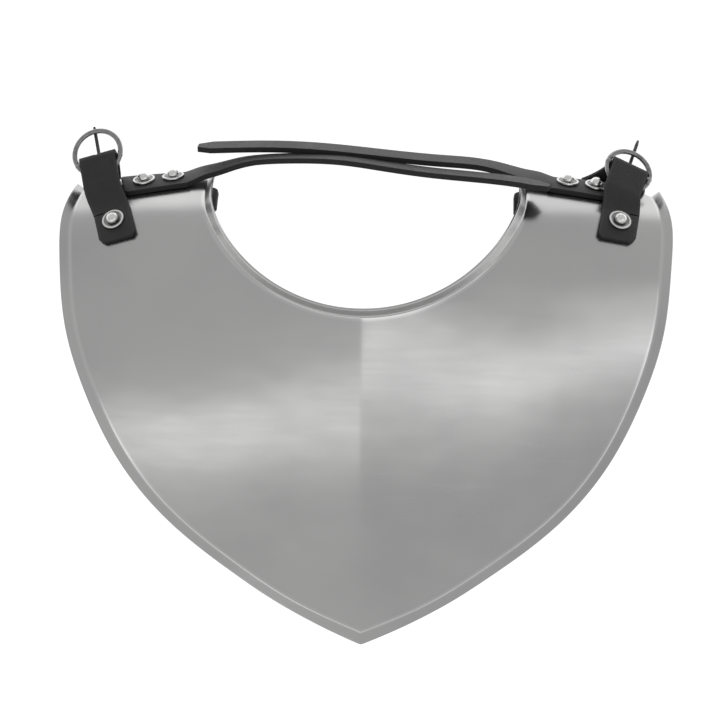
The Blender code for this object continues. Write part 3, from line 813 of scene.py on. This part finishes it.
@dataclass
class Leather:
    """One shoulder's leather: the neck strap, the buckle tab and the backing under the plate."""

    shoulder: Shoulder
    plate: Plate
    finish: bpy.types.Material
    cut_edge: bpy.types.Material
    wall: float = 0.0024
    strap_wall: float = 0.0030
    strap_width: float = 0.0200
    strap_point: float = 0.0080
    strap_point_width: float = 0.0090
    settling: float = 12 / 63
    tab_width: float = 0.0211
    tab_end: float = 0.0125
    tab_chamfer: float = 0.0024
    backing_width: float = 0.0240
    slot_width: float = 0.0033
    slot_fold_rows: int = 7
    slot_back_rows: int = 17
    fold_turn: float = math.radians(95)
    tab_past_rivet: float = 0.0060
    tab_settling: float = 0.72
    flare_drop: float = 0.0028
    flare_start: float = 0.08
    flare_fade: Sizes = (0.4, 0.3)
    corner_run: float = 0.0016
    corner_share: float = 0.12
    clearance: float = 0.0004
    inner_clearance: float = 0.0007
    ring_outer: float = 0.0285
    ring_wire: float = 0.0027
    softening: float = 0.0006
    backing_rows: tuple[Sizes, ...] = (
        (1.470, 1.140, 1.00),
        (1.400, 1.145, 1.00),
        (1.300, 1.145, 1.00),
        (1.210, 1.130, 1.00),
        (1.120, 1.090, 1.00),
        (1.030, 1.010, 1.00),
        (0.975, 0.960, 1.00),
        (0.940, 0.935, 0.92),
        (0.922, 0.925, 0.72),
    )

    def laid(self, centres: Array, square: Array, halves: Array, lift: float, shares: Array) -> Array:
        """Rows of a strip that lies along the plate at one height from it.

        Args:
            centres: Sheet coordinates of the strip's middle.
            square: The unit direction across it in the sheet.
            halves: Its half width at each centre.
            lift: The distance of its middle layer from the plate's outer face.
            shares: The places across it, from -1 to 1.

        Returns:
            An array of centres by shares by 3.
        """
        place = centres[:, None] + square * shares[None, :, None] * halves[:, None, None]
        return self.plate.shell.raised(place, lift, self.shoulder.side.value)

    def bow(self, row: Array) -> Array:
        """How far a row's ends lie off the straight line at its middle."""
        half = len(row) // 2
        middle = (row[(len(row) - 1) // 2] + row[half]) / 2
        return (row[0] + row[-1]) / 2 - middle

    def hung(self, centres: Array, across: Array, halves: Array, shares: Array, bow: Array) -> Array:
        """Rows of a strip in the air: straight across and square to its path, plus a bow of share squared."""
        across = squared(across, unit(np.gradient(centres, axis=0)))
        flat = centres[:, None] + across[:, None] * shares[None, :, None] * halves[:, None, None]
        return flat + bow[:, None] * (shares**2)[None, :, None]

    def piece(
        self, word: str, rows: Array, halves: Array, shares: Array, wall: float, gap: Array | None = None
    ) -> None:
        """Makes one leather piece in place of the CAD node of the same name, none of it under the floor.

        Args:
            word: The node's name without its side.
            rows: The middle layer's points, before the part is set down.
            halves: The half width of each row.
            shares: The places across it, from -1 to 1.
            wall: The leather's thickness.
            gap: Which quads are left out, if any are.
        """
        name = f"{self.shoulder.side.word}_{word}"
        places = rows + self.plate.seat
        places[..., 2] = np.maximum(places[..., 2], wall / 2)
        finishes = [self.finish, self.cut_edge]
        strip = Sheet(f"{name}_leather", places, wall, 0.0, self.softening, finishes, gap)
        strip.edge_slot, strip.even = 1, False
        # distance from the nearest long edge, which places the leather's painted highlight
        strip.numbers["edge"] = (1 - np.abs(shares))[None, :] * halves[:, None]
        made = strip.build()
        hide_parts(name)
        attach(made, "gorget")
        LOG.info("%s: %d places along it", made.name, len(rows))

    def strap(self) -> None:
        """The neck strap: flat under its rivets, then free on its edge, to a chamfered tip."""
        shoulder, side = self.shoulder, self.shoulder.side.value
        lift, half = self.clearance + self.strap_wall / 2, self.strap_width / 2
        shares = np.linspace(-1, 1, 13)
        end, leave = np.array(shoulder.strap_end), np.array(shoulder.strap_leave)
        run = unit(leave - end)
        square = np.array([run[1], -run[0]])
        mix = np.linspace(0, 1, 26)[:, None]
        held = end * (1 - mix) + leave * mix
        rounded = smoothstep(np.linalg.norm(held - end, axis=1) / self.corner_run)
        corner = rounded * self.corner_share + (1 - self.corner_share)
        seated = self.laid(held, square, half * corner, lift, shares)
        knots = self.plate.shell.raised(end * 0.4 + leave * 0.6, lift, side)
        knots = np.stack([knots, self.plate.shell.raised(end * 0.2 + leave * 0.8, lift, side)])
        last = self.plate.shell.raised(leave, lift, side)
        shell = self.plate.shell
        sizes = np.array([self.plate.neck_half_width * side, shell.shoulder_radius, shell.ridge_rise])
        knots = np.concatenate([knots, last[None], np.array(shoulder.strap_rows) * sizes])
        places = np.linspace(0, 1, 420)
        path = spline(knots, places)
        first = int(np.argmin(np.linalg.norm(path - last, axis=1))) + 2
        centres, settle = path[first:], np.clip((places[first:] - places[first]) / self.settling, 0, 1)
        left = arc_length(centres)[-1] - arc_length(centres)
        halves = half - (half - self.strap_point_width / 2) * np.clip(1 - left / self.strap_point, 0, 1)
        settled = unit(seated[-1][-1] - seated[-1][0])
        upright = np.array([0.0, math.sin(shoulder.strap_lean), -math.cos(shoulder.strap_lean)])
        upright = upright * np.sign(settled @ upright)
        across = settled * (1 - settle[:, None]) + upright * settle[:, None]
        bow = self.bow(seated[-1]) * (1 - settle[:, None])
        free = self.hung(centres, across, halves, shares, bow)
        rows = np.concatenate([seated, free])
        widths = np.concatenate([half * corner, halves])
        self.piece("neck_strap", rows, widths, shares, self.strap_wall)

    def around_edge(self, edges: Array, lean: Array, turns: Array) -> Array:
        """Points on a half circle round the plate's back edge, from its outer face to its inner face."""
        shell, side = self.plate.shell, self.shoulder.side.value
        wrap = self.plate.thickness / 2 + self.inner_clearance + self.wall / 2
        middle = shell.raised(edges, -self.plate.thickness / 2, side)
        normal = unit(shell.raised(edges, self.plate.thickness / 2, side) - middle)
        down = shell.heading(edges, lean, side)
        turn = turns[:, None, None]
        return middle + (normal * np.cos(turn) + down * np.sin(turn)) * wrap

    def tab_strip(self, reach: Array, lift: float, shares: Array) -> Array:
        """The tab's rows along the plate at distances from its rivet, narrower at its chamfered end."""
        rivet, lean, square = self.tab_lines()
        narrowed = np.clip(1 - (reach + self.tab_end) / self.tab_chamfer, 0, 1)
        halves = self.tab_width / 2 - self.tab_chamfer * narrowed
        return self.laid(rivet + lean * reach[:, None], square, halves, lift, shares)

    def tab_lines(self) -> tuple[Array, Array, Array]:
        """The tab's rivet, the direction along the tab and the one across it, in the sheet."""
        lean = np.array([math.sin(self.shoulder.tab_lean), -math.cos(self.shoulder.tab_lean)])
        return np.array(self.shoulder.tab_rivet), lean, np.array([-lean[1], lean[0]])

    def tab_shares(self) -> Array:
        """The places across the tab, with one at each side of the prong's slot."""
        slot = self.slot_width / self.tab_width
        left, middle, right = np.linspace(-1, -slot, 7), np.linspace(-slot, slot, 4), np.linspace(slot, 1, 7)
        return np.concatenate([left, middle[1:-1], right]) * self.shoulder.side.value

    def tab_over(self, flat: Array, shares: Array) -> Array:
        """The rows of the tab's upper layer in the air, from the end of its flat rows to the ring's bar."""
        shoulder, side = self.shoulder, self.shoulder.side.value
        rivet, lean, _ = self.tab_lines()
        bar, out, top = shoulder.bar_frame()
        last = shoulder.bar_centre() + top * self.bar_turn()
        landing = last - out * (self.ring_outer / 2 + 3 * self.clearance)
        start = (flat[-1][7] + flat[-1][8]) / 2
        heading = self.plate.shell.heading(rivet + lean * self.tab_past_rivet, lean, side)
        over = cubic(start, heading, landing, out, np.linspace(0, 1, 25)[1:-1])
        over = np.concatenate([over, landing + (last - landing) * np.linspace(0, 0.98, 14)[:, None]])
        settle = np.clip(np.linspace(0, 1, len(over)) / self.tab_settling, 0, 1)[:, None]
        settled = unit(flat[-1][-1] - flat[-1][0])
        across = (settled * (1 - settle) + bar * settle) * side
        halves = np.full(len(over), self.tab_width / 2)
        return self.hung(over, across, halves, shares, self.bow(flat[-1]) * (1 - settle))

    def inner_lift(self) -> float:
        """The height of the middle of the leather inside the plate, from the plate's outer face."""
        return -(self.plate.thickness + self.inner_clearance + self.wall / 2)

    def bar_turn(self) -> float:
        """The distance from the bar's middle to the middle layer of the leather round it."""
        return self.ring_wire / 2 + self.clearance + self.wall / 2

    def tab(self) -> None:
        """The buckle tab: over the shoulder to the bar, round it, and back round the edge to the inside.

        The prong's slot starts in the fold and ends in the layer that comes back. Where the shoulder has a
        tab flare, the inner layer widens towards the neck at the plate's edge and dips under the backing.
        """
        shoulder, shell, side = self.shoulder, self.plate.shell, self.shoulder.side.value
        rivet, lean, square = self.tab_lines()
        half, slot, shares = self.tab_width / 2, self.slot_width / self.tab_width, self.tab_shares()
        outside, inside = self.clearance + self.wall / 2, self.inner_lift()
        flat = self.tab_strip(np.linspace(-self.tab_end, self.tab_past_rivet, 22), outside, shares)
        hung = self.tab_over(flat, shares)
        bar, out, top = shoulder.bar_frame()
        turns = np.linspace(0, self.fold_turn, 16)[:, None]
        bend = shoulder.bar_centre() + (top * np.cos(turns) + out * np.sin(turns)) * self.bar_turn()
        fold = bend[:, None] + bar * (side * shares * half)[None, :, None]
        run = out * math.cos(self.fold_turn) - top * math.sin(self.fold_turn)
        edges = self.edge_places(rivet + square * (shares * half)[:, None], lean)
        toward_neck = np.clip(-shares, 0, 1)
        edges[:, 0] -= shoulder.tab_flare * toward_neck
        edges[:, 1] = self.plate.back_edge(edges[:, 0])
        wrapped = self.around_edge(edges, lean, np.linspace(0, math.pi, 12))
        down = shell.heading(edges, lean, side)
        steps = np.linspace(0, 1, 26)[1:-1]
        back = cubic(fold[-1], np.broadcast_to(run, fold[-1].shape), wrapped[0], down, steps)
        held = rivet + square * (shares * half)[:, None]
        mix = np.linspace(0, 1, 22)[1:-1, None, None]
        inner = edges + (held - edges) * np.concatenate([1 - (1 - mix) ** 4, mix], -1)
        fade_start, fade_run = self.flare_fade
        under = smoothstep(mix[..., 0] / self.flare_start)
        under = under * (1 - smoothstep((mix[..., 0] - fade_start) / fade_run))
        lifts = inside - self.flare_drop * under * toward_neck * (shoulder.tab_flare > 0)
        tucked = shell.raised(inner, lifts[..., None], side)
        tail = self.tab_strip(np.linspace(0.0, -self.tab_end, 16), inside, shares)
        rows = np.concatenate([flat, hung, fold, back, wrapped, tucked, tail])
        first = len(flat) + len(hung) + self.slot_fold_rows
        final = len(flat) + len(hung) + len(fold) + self.slot_back_rows
        index = np.arange(len(rows) - 1)[:, None]
        middle = np.abs(shares[:-1] + shares[1:])[None, :] / 2 < slot * 0.9
        gap = (index >= first) & (index < final) & middle
        halves = np.full(len(rows), half)
        self.piece("buckle_tab", rows, halves, shares, self.wall, gap)

    def edge_places(self, starts: Array, lean: Array) -> Array:
        """Where lines from starts along lean meet the plate's back edge, found by eight corrections."""
        places = starts.copy()
        for _ in range(8):
            short = places[:, 1] - self.plate.back_edge(places[:, 0])
            places = places + lean * (short / -lean[1])[:, None]
        return places

    def backing(self) -> None:
        """The leather under the shoulder, with a rounded end in the neck opening."""
        rows = spline(np.array(self.backing_rows), np.linspace(0, 1, 60))
        sizes = np.array([self.plate.neck_half_width, -self.plate.shell.shoulder_radius])
        shares = np.linspace(-1, 1, 13)
        halves = self.backing_width / 2 * rows[:, 2]
        laid = self.laid(rows[:, :2] * sizes, np.array([0.0, 1.0]), halves, self.inner_lift(), shares)
        self.piece("strap_backing", laid, halves, shares, self.wall)

    def build(self) -> None:
        """Makes the three pieces."""
        self.strap()
        self.tab()
        self.backing()


def closed_piece(name: str, parts: list[Array], material: bpy.types.Material) -> bpy.types.Object:
    """Makes one piece of surfaces whose rows are closed rings of points, with doubles at their poles merged.

    Args:
        name: The piece's name.
        parts: Grids of rows by points by 3. A part whose last row repeats its first is a closed loop.
        material: Its finish.

    Returns:
        The object.
    """
    points = np.concatenate([part.reshape(-1, 3) for part in parts])
    starts = np.cumsum([0] + [part.shape[0] * part.shape[1] for part in parts[:-1]])
    faces = [grid_faces(*part.shape[:2], closed=True).reshape(-1, 4) for part in parts]
    faces = [rows + int(start) for rows, start in zip(faces, starts)]
    made = add_piece(name, points, np.concatenate(faces), [material])
    weld(made)
    return made


def weld(obj: bpy.types.Object) -> None:
    """Merges doubles, turns every closed shell's faces outwards and keeps real corners sharp."""
    mesh = bmesh.new()
    mesh.from_mesh(obj.data)
    bmesh.ops.remove_doubles(mesh, verts=mesh.verts, dist=1e-6)
    bmesh.ops.recalc_face_normals(mesh, faces=mesh.faces)
    mesh.to_mesh(obj.data)
    mesh.free()
    obj.data.shade_smooth()
    obj.data.set_sharp_from_angle(angle=SHARP_ANGLE)


def turned(profile: Array, place: Array, axis: Array, steps: int = 56) -> Array:
    """A profile of radius and height turned about an axis: radius times (cos, sin) plus height along it."""
    first = unit(np.cross(axis, np.array([0.0, 1.0, 0.0])))
    second = np.cross(axis, first)
    turn = np.linspace(0, 2 * math.pi, steps, endpoint=False)
    round_it = np.cos(turn)[:, None] * first + np.sin(turn)[:, None] * second
    return place + profile[:, 0, None, None] * round_it + profile[:, 1, None, None] * axis


def tube(path: Array, flat_normal: Array, radii: Array, steps: int = 24, closed: bool = False) -> Array:
    """A circle carried along a path that lies in a plane.

    Args:
        path: The points of the path.
        flat_normal: The unit normal of the plane it lies in.
        radii: The wire's radius at each point.
        steps: How many points the circle has.
        closed: Whether the path's last point is its first.

    Returns:
        A grid of points, with a pole at each end of an open path.
    """
    run = unit(np.gradient(path, axis=0))
    if closed:
        run[0] = run[-1] = unit(path[1] - path[-2])
    else:
        bulge = np.array([1.0, 0.92, 0.71, 0.38])[:, None]
        start = path[0] - run[0] * radii[0] * bulge
        end = path[-1] + run[-1] * radii[-1] * bulge[::-1]
        path = np.concatenate([start, path, end])
        run = np.concatenate([np.repeat(run[:1], 4, axis=0), run, np.repeat(run[-1:], 4, axis=0)])
        small = np.array([0.0, 0.39, 0.70, 0.92])
        radii = np.concatenate([radii[0] * small, radii, radii[-1] * small[::-1]])
    beside = np.cross(run, flat_normal)
    turn = np.linspace(0, 2 * math.pi, steps, endpoint=False)[None, :, None]
    around = np.cos(turn) * beside[:, None] + np.sin(turn) * flat_normal
    return path[:, None] + around * radii[:, None, None]


@dataclass
class Rivets:
    """One shoulder's domed rivets with their washers."""

    shoulder: Shoulder
    plate: Plate
    leather: Leather
    finish: bpy.types.Material
    washer_finish: bpy.types.Material
    head: float = 0.0070
    dome: float = 0.0033
    dome_base: float = 0.10
    shank: float = 0.0034
    tail: float = 0.0064
    tail_height: float = 0.0010
    washer_outer: float = 0.0126
    washer_wall: float = 0.0009
    washer_edge: float = 0.0003
    dish_depth: float = 0.0005
    dish_margin: float = 0.0003
    land_width: float = 0.0010
    land_drop: float = 0.0001

    def head_profile(self, seat: float) -> Array:
        """Radius and height of the rivet: a dome on a low base, a shank and a burred tail."""
        turn = np.linspace(0, math.pi / 2, 18)
        radius = self.head / 2 * np.sin(turn)
        height = seat + self.dome * (self.dome_base + (1 - self.dome_base) * np.cos(turn))
        under = -(self.plate.thickness + 2 * self.leather.inner_clearance + self.leather.wall)
        rest = np.array(
            [
                (self.head / 2, seat),
                (self.shank / 2, seat),
                (self.shank / 2, under),
                (self.tail / 2, under),
                (self.tail / 2, under - self.tail_height * 0.5),
                (self.tail / 2 * 0.8, under - self.tail_height),
                (0.0, under - self.tail_height),
            ]
        )
        return np.concatenate([np.stack([radius, height], 1), rest])

    def washer_profile(self, seat: float) -> Array:
        """Radius and height of the washer: a rounded outer edge, and a dish that falls to the head."""
        rim, edge, top = self.washer_outer / 2, self.washer_edge, seat + self.washer_wall
        turn = np.linspace(0, math.pi / 2, 6)
        corner = np.stack([rim - edge + edge * np.sin(turn), top - edge + edge * np.cos(turn)], 1)
        hole = self.shank / 2 + self.leather.clearance
        dish, land = top - self.dish_depth, (rim - self.land_width, top - self.land_drop)
        rows = [(hole, seat), (hole, dish), (self.head / 2 + self.dish_margin, dish), land]
        return np.concatenate([np.array(rows), corner, np.array([(rim, seat), (hole, seat)])])

    def mark_rim_highlight(self, washer: bpy.types.Object, place: Array, axis: Array) -> None:
        """Gives each point of a washer its distance from the axis, as a share of the washer's radius, which
        places the painted rim highlight.
        """
        points = np.empty(len(washer.data.vertices) * 3, np.float32)
        washer.data.vertices.foreach_get("co", points)
        away = np.linalg.norm(np.cross(points.reshape(-1, 3) - place, axis), axis=1) / (self.washer_outer / 2)
        store = washer.data.attributes.new("rim", "FLOAT", "POINT")
        store.data.foreach_set("value", away.astype(np.float32))

    def build(self) -> None:
        """Makes the rivets in place of their CAD nodes."""
        shell, side, word = self.plate.shell, self.shoulder.side.value, self.shoulder.side.word
        places = {f"{word}_tab_rivet": (self.shoulder.tab_rivet, self.leather.wall)}
        for number, place in enumerate(self.shoulder.strap_rivets, 1):
            places[f"{word}_strap_rivet_{number}"] = (place, self.leather.strap_wall)
        for name, (place, wall) in places.items():
            where = np.array(place)
            face = shell.raised(where, 0.0, side)
            axis = unit(shell.raised(where, 0.001, side) - face)
            seat = 2 * self.leather.clearance + wall
            top = seat + self.washer_wall + self.leather.clearance
            foot = face + self.plate.seat
            head = closed_piece(f"{name}_head", [turned(self.head_profile(top), foot, axis)], self.finish)
            ring = [turned(self.washer_profile(seat), foot, axis)]
            washer = closed_piece(f"{name}_ring_washer", ring, self.washer_finish)
            self.mark_rim_highlight(washer, foot, axis)
            for made, node in ((head, name), (washer, f"{name}_washer")):
                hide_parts(node)
                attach(made, "gorget")
            LOG.info("%s and its washer", name)


@dataclass
class Buckle:
    """One ring buckle: the wire ring with its bar, and the prong that starts round the bar."""

    shoulder: Shoulder
    seat: Array
    ring_finish: bpy.types.Material
    prong_finish: bpy.types.Material
    wire: float = 0.0029
    bar_wire: float = 0.0025
    prong_wire: float = 0.0020
    hook_turn: float = math.radians(50)
    bar_swell: float = 0.0004
    swell_shares: Sizes = (0.82, 0.16)
    tip_share: float = 0.72
    tip_length: float = 0.0030
    clearance: float = 0.0004

    def ring(self) -> None:
        """The ring, a circle carried round a circle, and the bar, which swells where it meets the ring."""
        bar, out, top = self.shoulder.bar_frame()
        centre = self.shoulder.bar_centre() + self.seat
        major, shift = (self.shoulder.ring_outer - self.wire) / 2, self.shoulder.ring_shift
        turn = np.linspace(0, 2 * math.pi, 129)[:, None]
        loop = centre + out * shift + (bar * np.cos(turn) + out * np.sin(turn)) * major
        round_ring = tube(loop, top, np.full(len(loop), self.wire / 2), 22, closed=True)
        shares = np.linspace(-1, 1, 49)
        rod = centre + bar * (shares * math.sqrt(major**2 - shift**2))[:, None]
        start, run = self.swell_shares
        radii = self.bar_wire / 2 + self.bar_swell * smoothstep((np.abs(shares) - start) / run)
        parts = [round_ring, tube(rod, top, radii, 22)]
        made = closed_piece(f"{self.shoulder.side.word}_ring", parts, self.ring_finish)
        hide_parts(f"{self.shoulder.side.word}_buckle_ring")
        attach(made, f"{self.shoulder.side.word}_ring")
        LOG.info("%s", made.name)

    def prong(self) -> None:
        """The prong: a short bend round the bar, and a shank under the ring's far side to a blunt tip."""
        bar, out, top = self.shoulder.bar_frame()
        centre = self.shoulder.bar_centre() + self.seat
        hook = self.bar_wire / 2 + self.clearance + self.prong_wire / 2
        below = (self.wire + self.prong_wire) / 2 + self.clearance
        far_side = (self.shoulder.ring_outer - self.wire) / 2 + self.shoulder.ring_shift
        dip = math.asin(max(below - hook, 0.0) / far_side)
        turn = np.linspace(self.hook_turn, 0, 30) + dip
        bend = np.stack([-hook * np.sin(turn), -hook * np.cos(turn)], 1)
        run = np.array([math.cos(dip), -math.sin(dip)])
        lengths = (self.shoulder.prong_reach - bend[-1, 0]) * np.linspace(0, 1, 30)[1:, None]
        line = np.concatenate([bend, bend[-1] + run * lengths])
        path = centre + line[:, :1] * out + line[:, 1:] * top
        left = arc_length(line)[-1] - arc_length(line)
        full = smoothstep(left / self.tip_length)
        wire = tube(path, bar, self.prong_wire / 2 * (self.tip_share + (1 - self.tip_share) * full), 20)
        made = closed_piece(f"{self.shoulder.side.word}_prong_wire", [wire], self.prong_finish)
        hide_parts(f"{self.shoulder.side.word}_prong")
        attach(made, f"{self.shoulder.side.word}_prong")
        LOG.info("%s", made.name)

    def build(self) -> None:
        """Makes the ring and the prong."""
        self.ring()
        self.prong()


@dataclass(frozen=True)
class Softbox:
    """A long soft studio light, placed by the directions in which the part sees its two ends.

    A direction is a pair of angles off the vertical, towards +X and towards +Y, in degrees.
    """

    name: str
    first: Sizes
    last: Sizes
    width: float
    glow: float
    reach: float = 4.0

    def end(self, angles: Sizes) -> Vector:
        """The place of one end: the direction (tan, tan, 1) as a unit vector times the reach."""
        across, along = (math.tan(math.radians(angle)) for angle in angles)
        return Vector((across, along, 1.0)).normalized() * self.reach

    def build(self) -> None:
        """Makes the light. Its power is pi times its area times its glow."""
        first, last = self.end(self.first), self.end(self.last)
        middle = (first + last) / 2
        along = (last - first).normalized()
        back = (middle - along * middle.dot(along)).normalized()
        data = bpy.data.lights.new(self.name, "AREA")
        data.shape = "RECTANGLE"
        data.size, data.size_y = (last - first).length, self.width
        data.energy = math.pi * data.size * data.size_y * self.glow
        light = bpy.data.objects.new(self.name, data)
        place = Matrix((along, back.cross(along), back)).transposed().to_4x4()
        place.translation = middle
        light.matrix_world = place
        bpy.context.scene.collection.objects.link(light)


@dataclass
class Studio:
    """The pale floor, the soft lights, the grey room and the camera."""

    seat: Array
    axis_back: float = -0.0385
    distance: float = 1.4
    yaw: float = math.radians(2.0)
    roll: float = math.radians(-0.90)
    focal_pixels: float = 2439.0
    image_side: int = 720
    axis_pixel: float = 365.2
    room: float = 0.54
    floor_glow: float = 0.90
    floor_fade: Sizes = (0.31, 1.30)
    floor_colour: Sizes = grey(0.40)
    floor_far_colour: Sizes = grey(0.20)
    floor_far_glow: Sizes = grey(0.50)
    softboxes: tuple[Softbox, ...] = (
        Softbox("left_strip", (-52.0, -47.0), (-1.0, -38.0), 0.60, 0.78),
        Softbox("right_strip", (1.0, -36.0), (50.0, -16.0), 0.80, 0.74),
        Softbox("right_window", (40.0, 8.0), (58.0, -22.0), 1.60, 0.30),
    )

    def camera(self) -> None:
        """The camera above the part, a little to its right, turned so that the part leans as in the photo."""
        data = bpy.data.cameras.new("camera")
        data.sensor_width = 36.0
        data.lens = self.focal_pixels / self.image_side * data.sensor_width
        data.shift_x = (self.image_side / 2 - self.axis_pixel) / self.image_side
        data.clip_start, data.clip_end = 0.05, 20.0
        camera = bpy.data.objects.new("camera", data)
        back = Vector((math.sin(self.yaw), 0.0, math.cos(self.yaw)))
        right = Vector((math.cos(self.yaw), 0.0, -math.sin(self.yaw)))
        up = Vector((0.0, 1.0, 0.0))
        turned_right = right * math.cos(self.roll) - up * math.sin(self.roll)
        turned_up = up * math.cos(self.roll) + right * math.sin(self.roll)
        place = Matrix((turned_right, turned_up, back)).transposed().to_4x4()
        place.translation = Vector(self.seat) + Vector((0.0, self.axis_back, 0.0)) + back * self.distance
        camera.matrix_world = place
        bpy.context.scene.collection.objects.link(camera)
        bpy.context.scene.camera = camera

    def floor(self) -> None:
        """A plain pale floor that glows as a light table does, and is greyer and darker far from the part."""
        tree = Tree("pale_floor")
        place = tree.object_place()
        away = tree.node("ShaderNodeVectorMath", {"operation": "LENGTH"}, {0: place}).outputs["Value"]
        share = Value(tree, away).between(*self.floor_fade)
        glow = tree.mixed(share, grey(1.0), self.floor_far_glow)
        base = tree.mixed(share, self.floor_colour, self.floor_far_colour)
        tree.dress(Base_Color=base, Roughness=0.9, Emission_Color=glow, Emission_Strength=self.floor_glow)
        side = np.linspace(-3, 3, 2)
        points = np.array([(x, y, FLOOR_LEVEL) for y in side for x in side])
        made = add_piece("floor", points, np.array([[0, 1, 3, 2]]), [tree.material])

    def build(self) -> None:
        """Makes the studio."""
        world = bpy.data.worlds.new("room")
        world.use_nodes = True
        world.node_tree.nodes["Background"].inputs["Color"].default_value = (1.0, 1.0, 1.0, 1.0)
        world.node_tree.nodes["Background"].inputs["Strength"].default_value = self.room
        bpy.context.scene.world = world
        bpy.context.scene.view_settings.view_transform = "Standard"
        for softbox in self.softboxes:
            softbox.build()
        self.floor()
        self.camera()


def seat_of(shoulder: Shoulder) -> Array:
    """How far the part is set down: the CAD ring's middle less the bar's own place."""
    low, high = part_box(f"{shoulder.side.word}_buckle_ring")
    return (np.array(low) + np.array(high)) / 2 - shoulder.bar_centre()


def main() -> None:
    """Loads the frame and builds each sub-assembly in turn."""
    logging.basicConfig(level=logging.INFO, format="%(message)s")
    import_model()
    seat = seat_of(LEFT)
    LOG.info("set down by %s", np.round(seat, 6))
    plate = Plate(Shell(), seat, SatinSteel().material())
    leather = BlackLeather().material()
    cut_edge = BlackLeather(grain=Grain.CUT_EDGE).material()
    bright = Plated("bright_nickel", grey(0.90, 0.89), grey(0.72, 0.71), 0.20, dent=0.00022, marks=2100.0)
    # a dark washer with a painted highlight on its rim
    washer = Plated("washer_nickel", grey(0.30), grey(0.16), 0.30, rim_highlight_colour=grey(0.84, 0.83))
    heads, washers = bright.material(), washer.material()
    dull = Plated("grey_nickel", grey(0.34), grey(0.20), 0.28).material()
    dark = Plated("dark_steel", grey(0.10), grey(0.05), 0.42).material()
    made = plate.build()
    LOG.info("%s: %d points before its wall", made.name, len(made.data.vertices))
    for shoulder in (LEFT, RIGHT):
        strips = Leather(shoulder, plate, leather, cut_edge)
        strips.build()
        Rivets(shoulder, plate, strips, heads, washers).build()
        Buckle(shoulder, seat, dull, dark).build()
    Studio(seat).build()


if __name__ == "__main__":
    main()
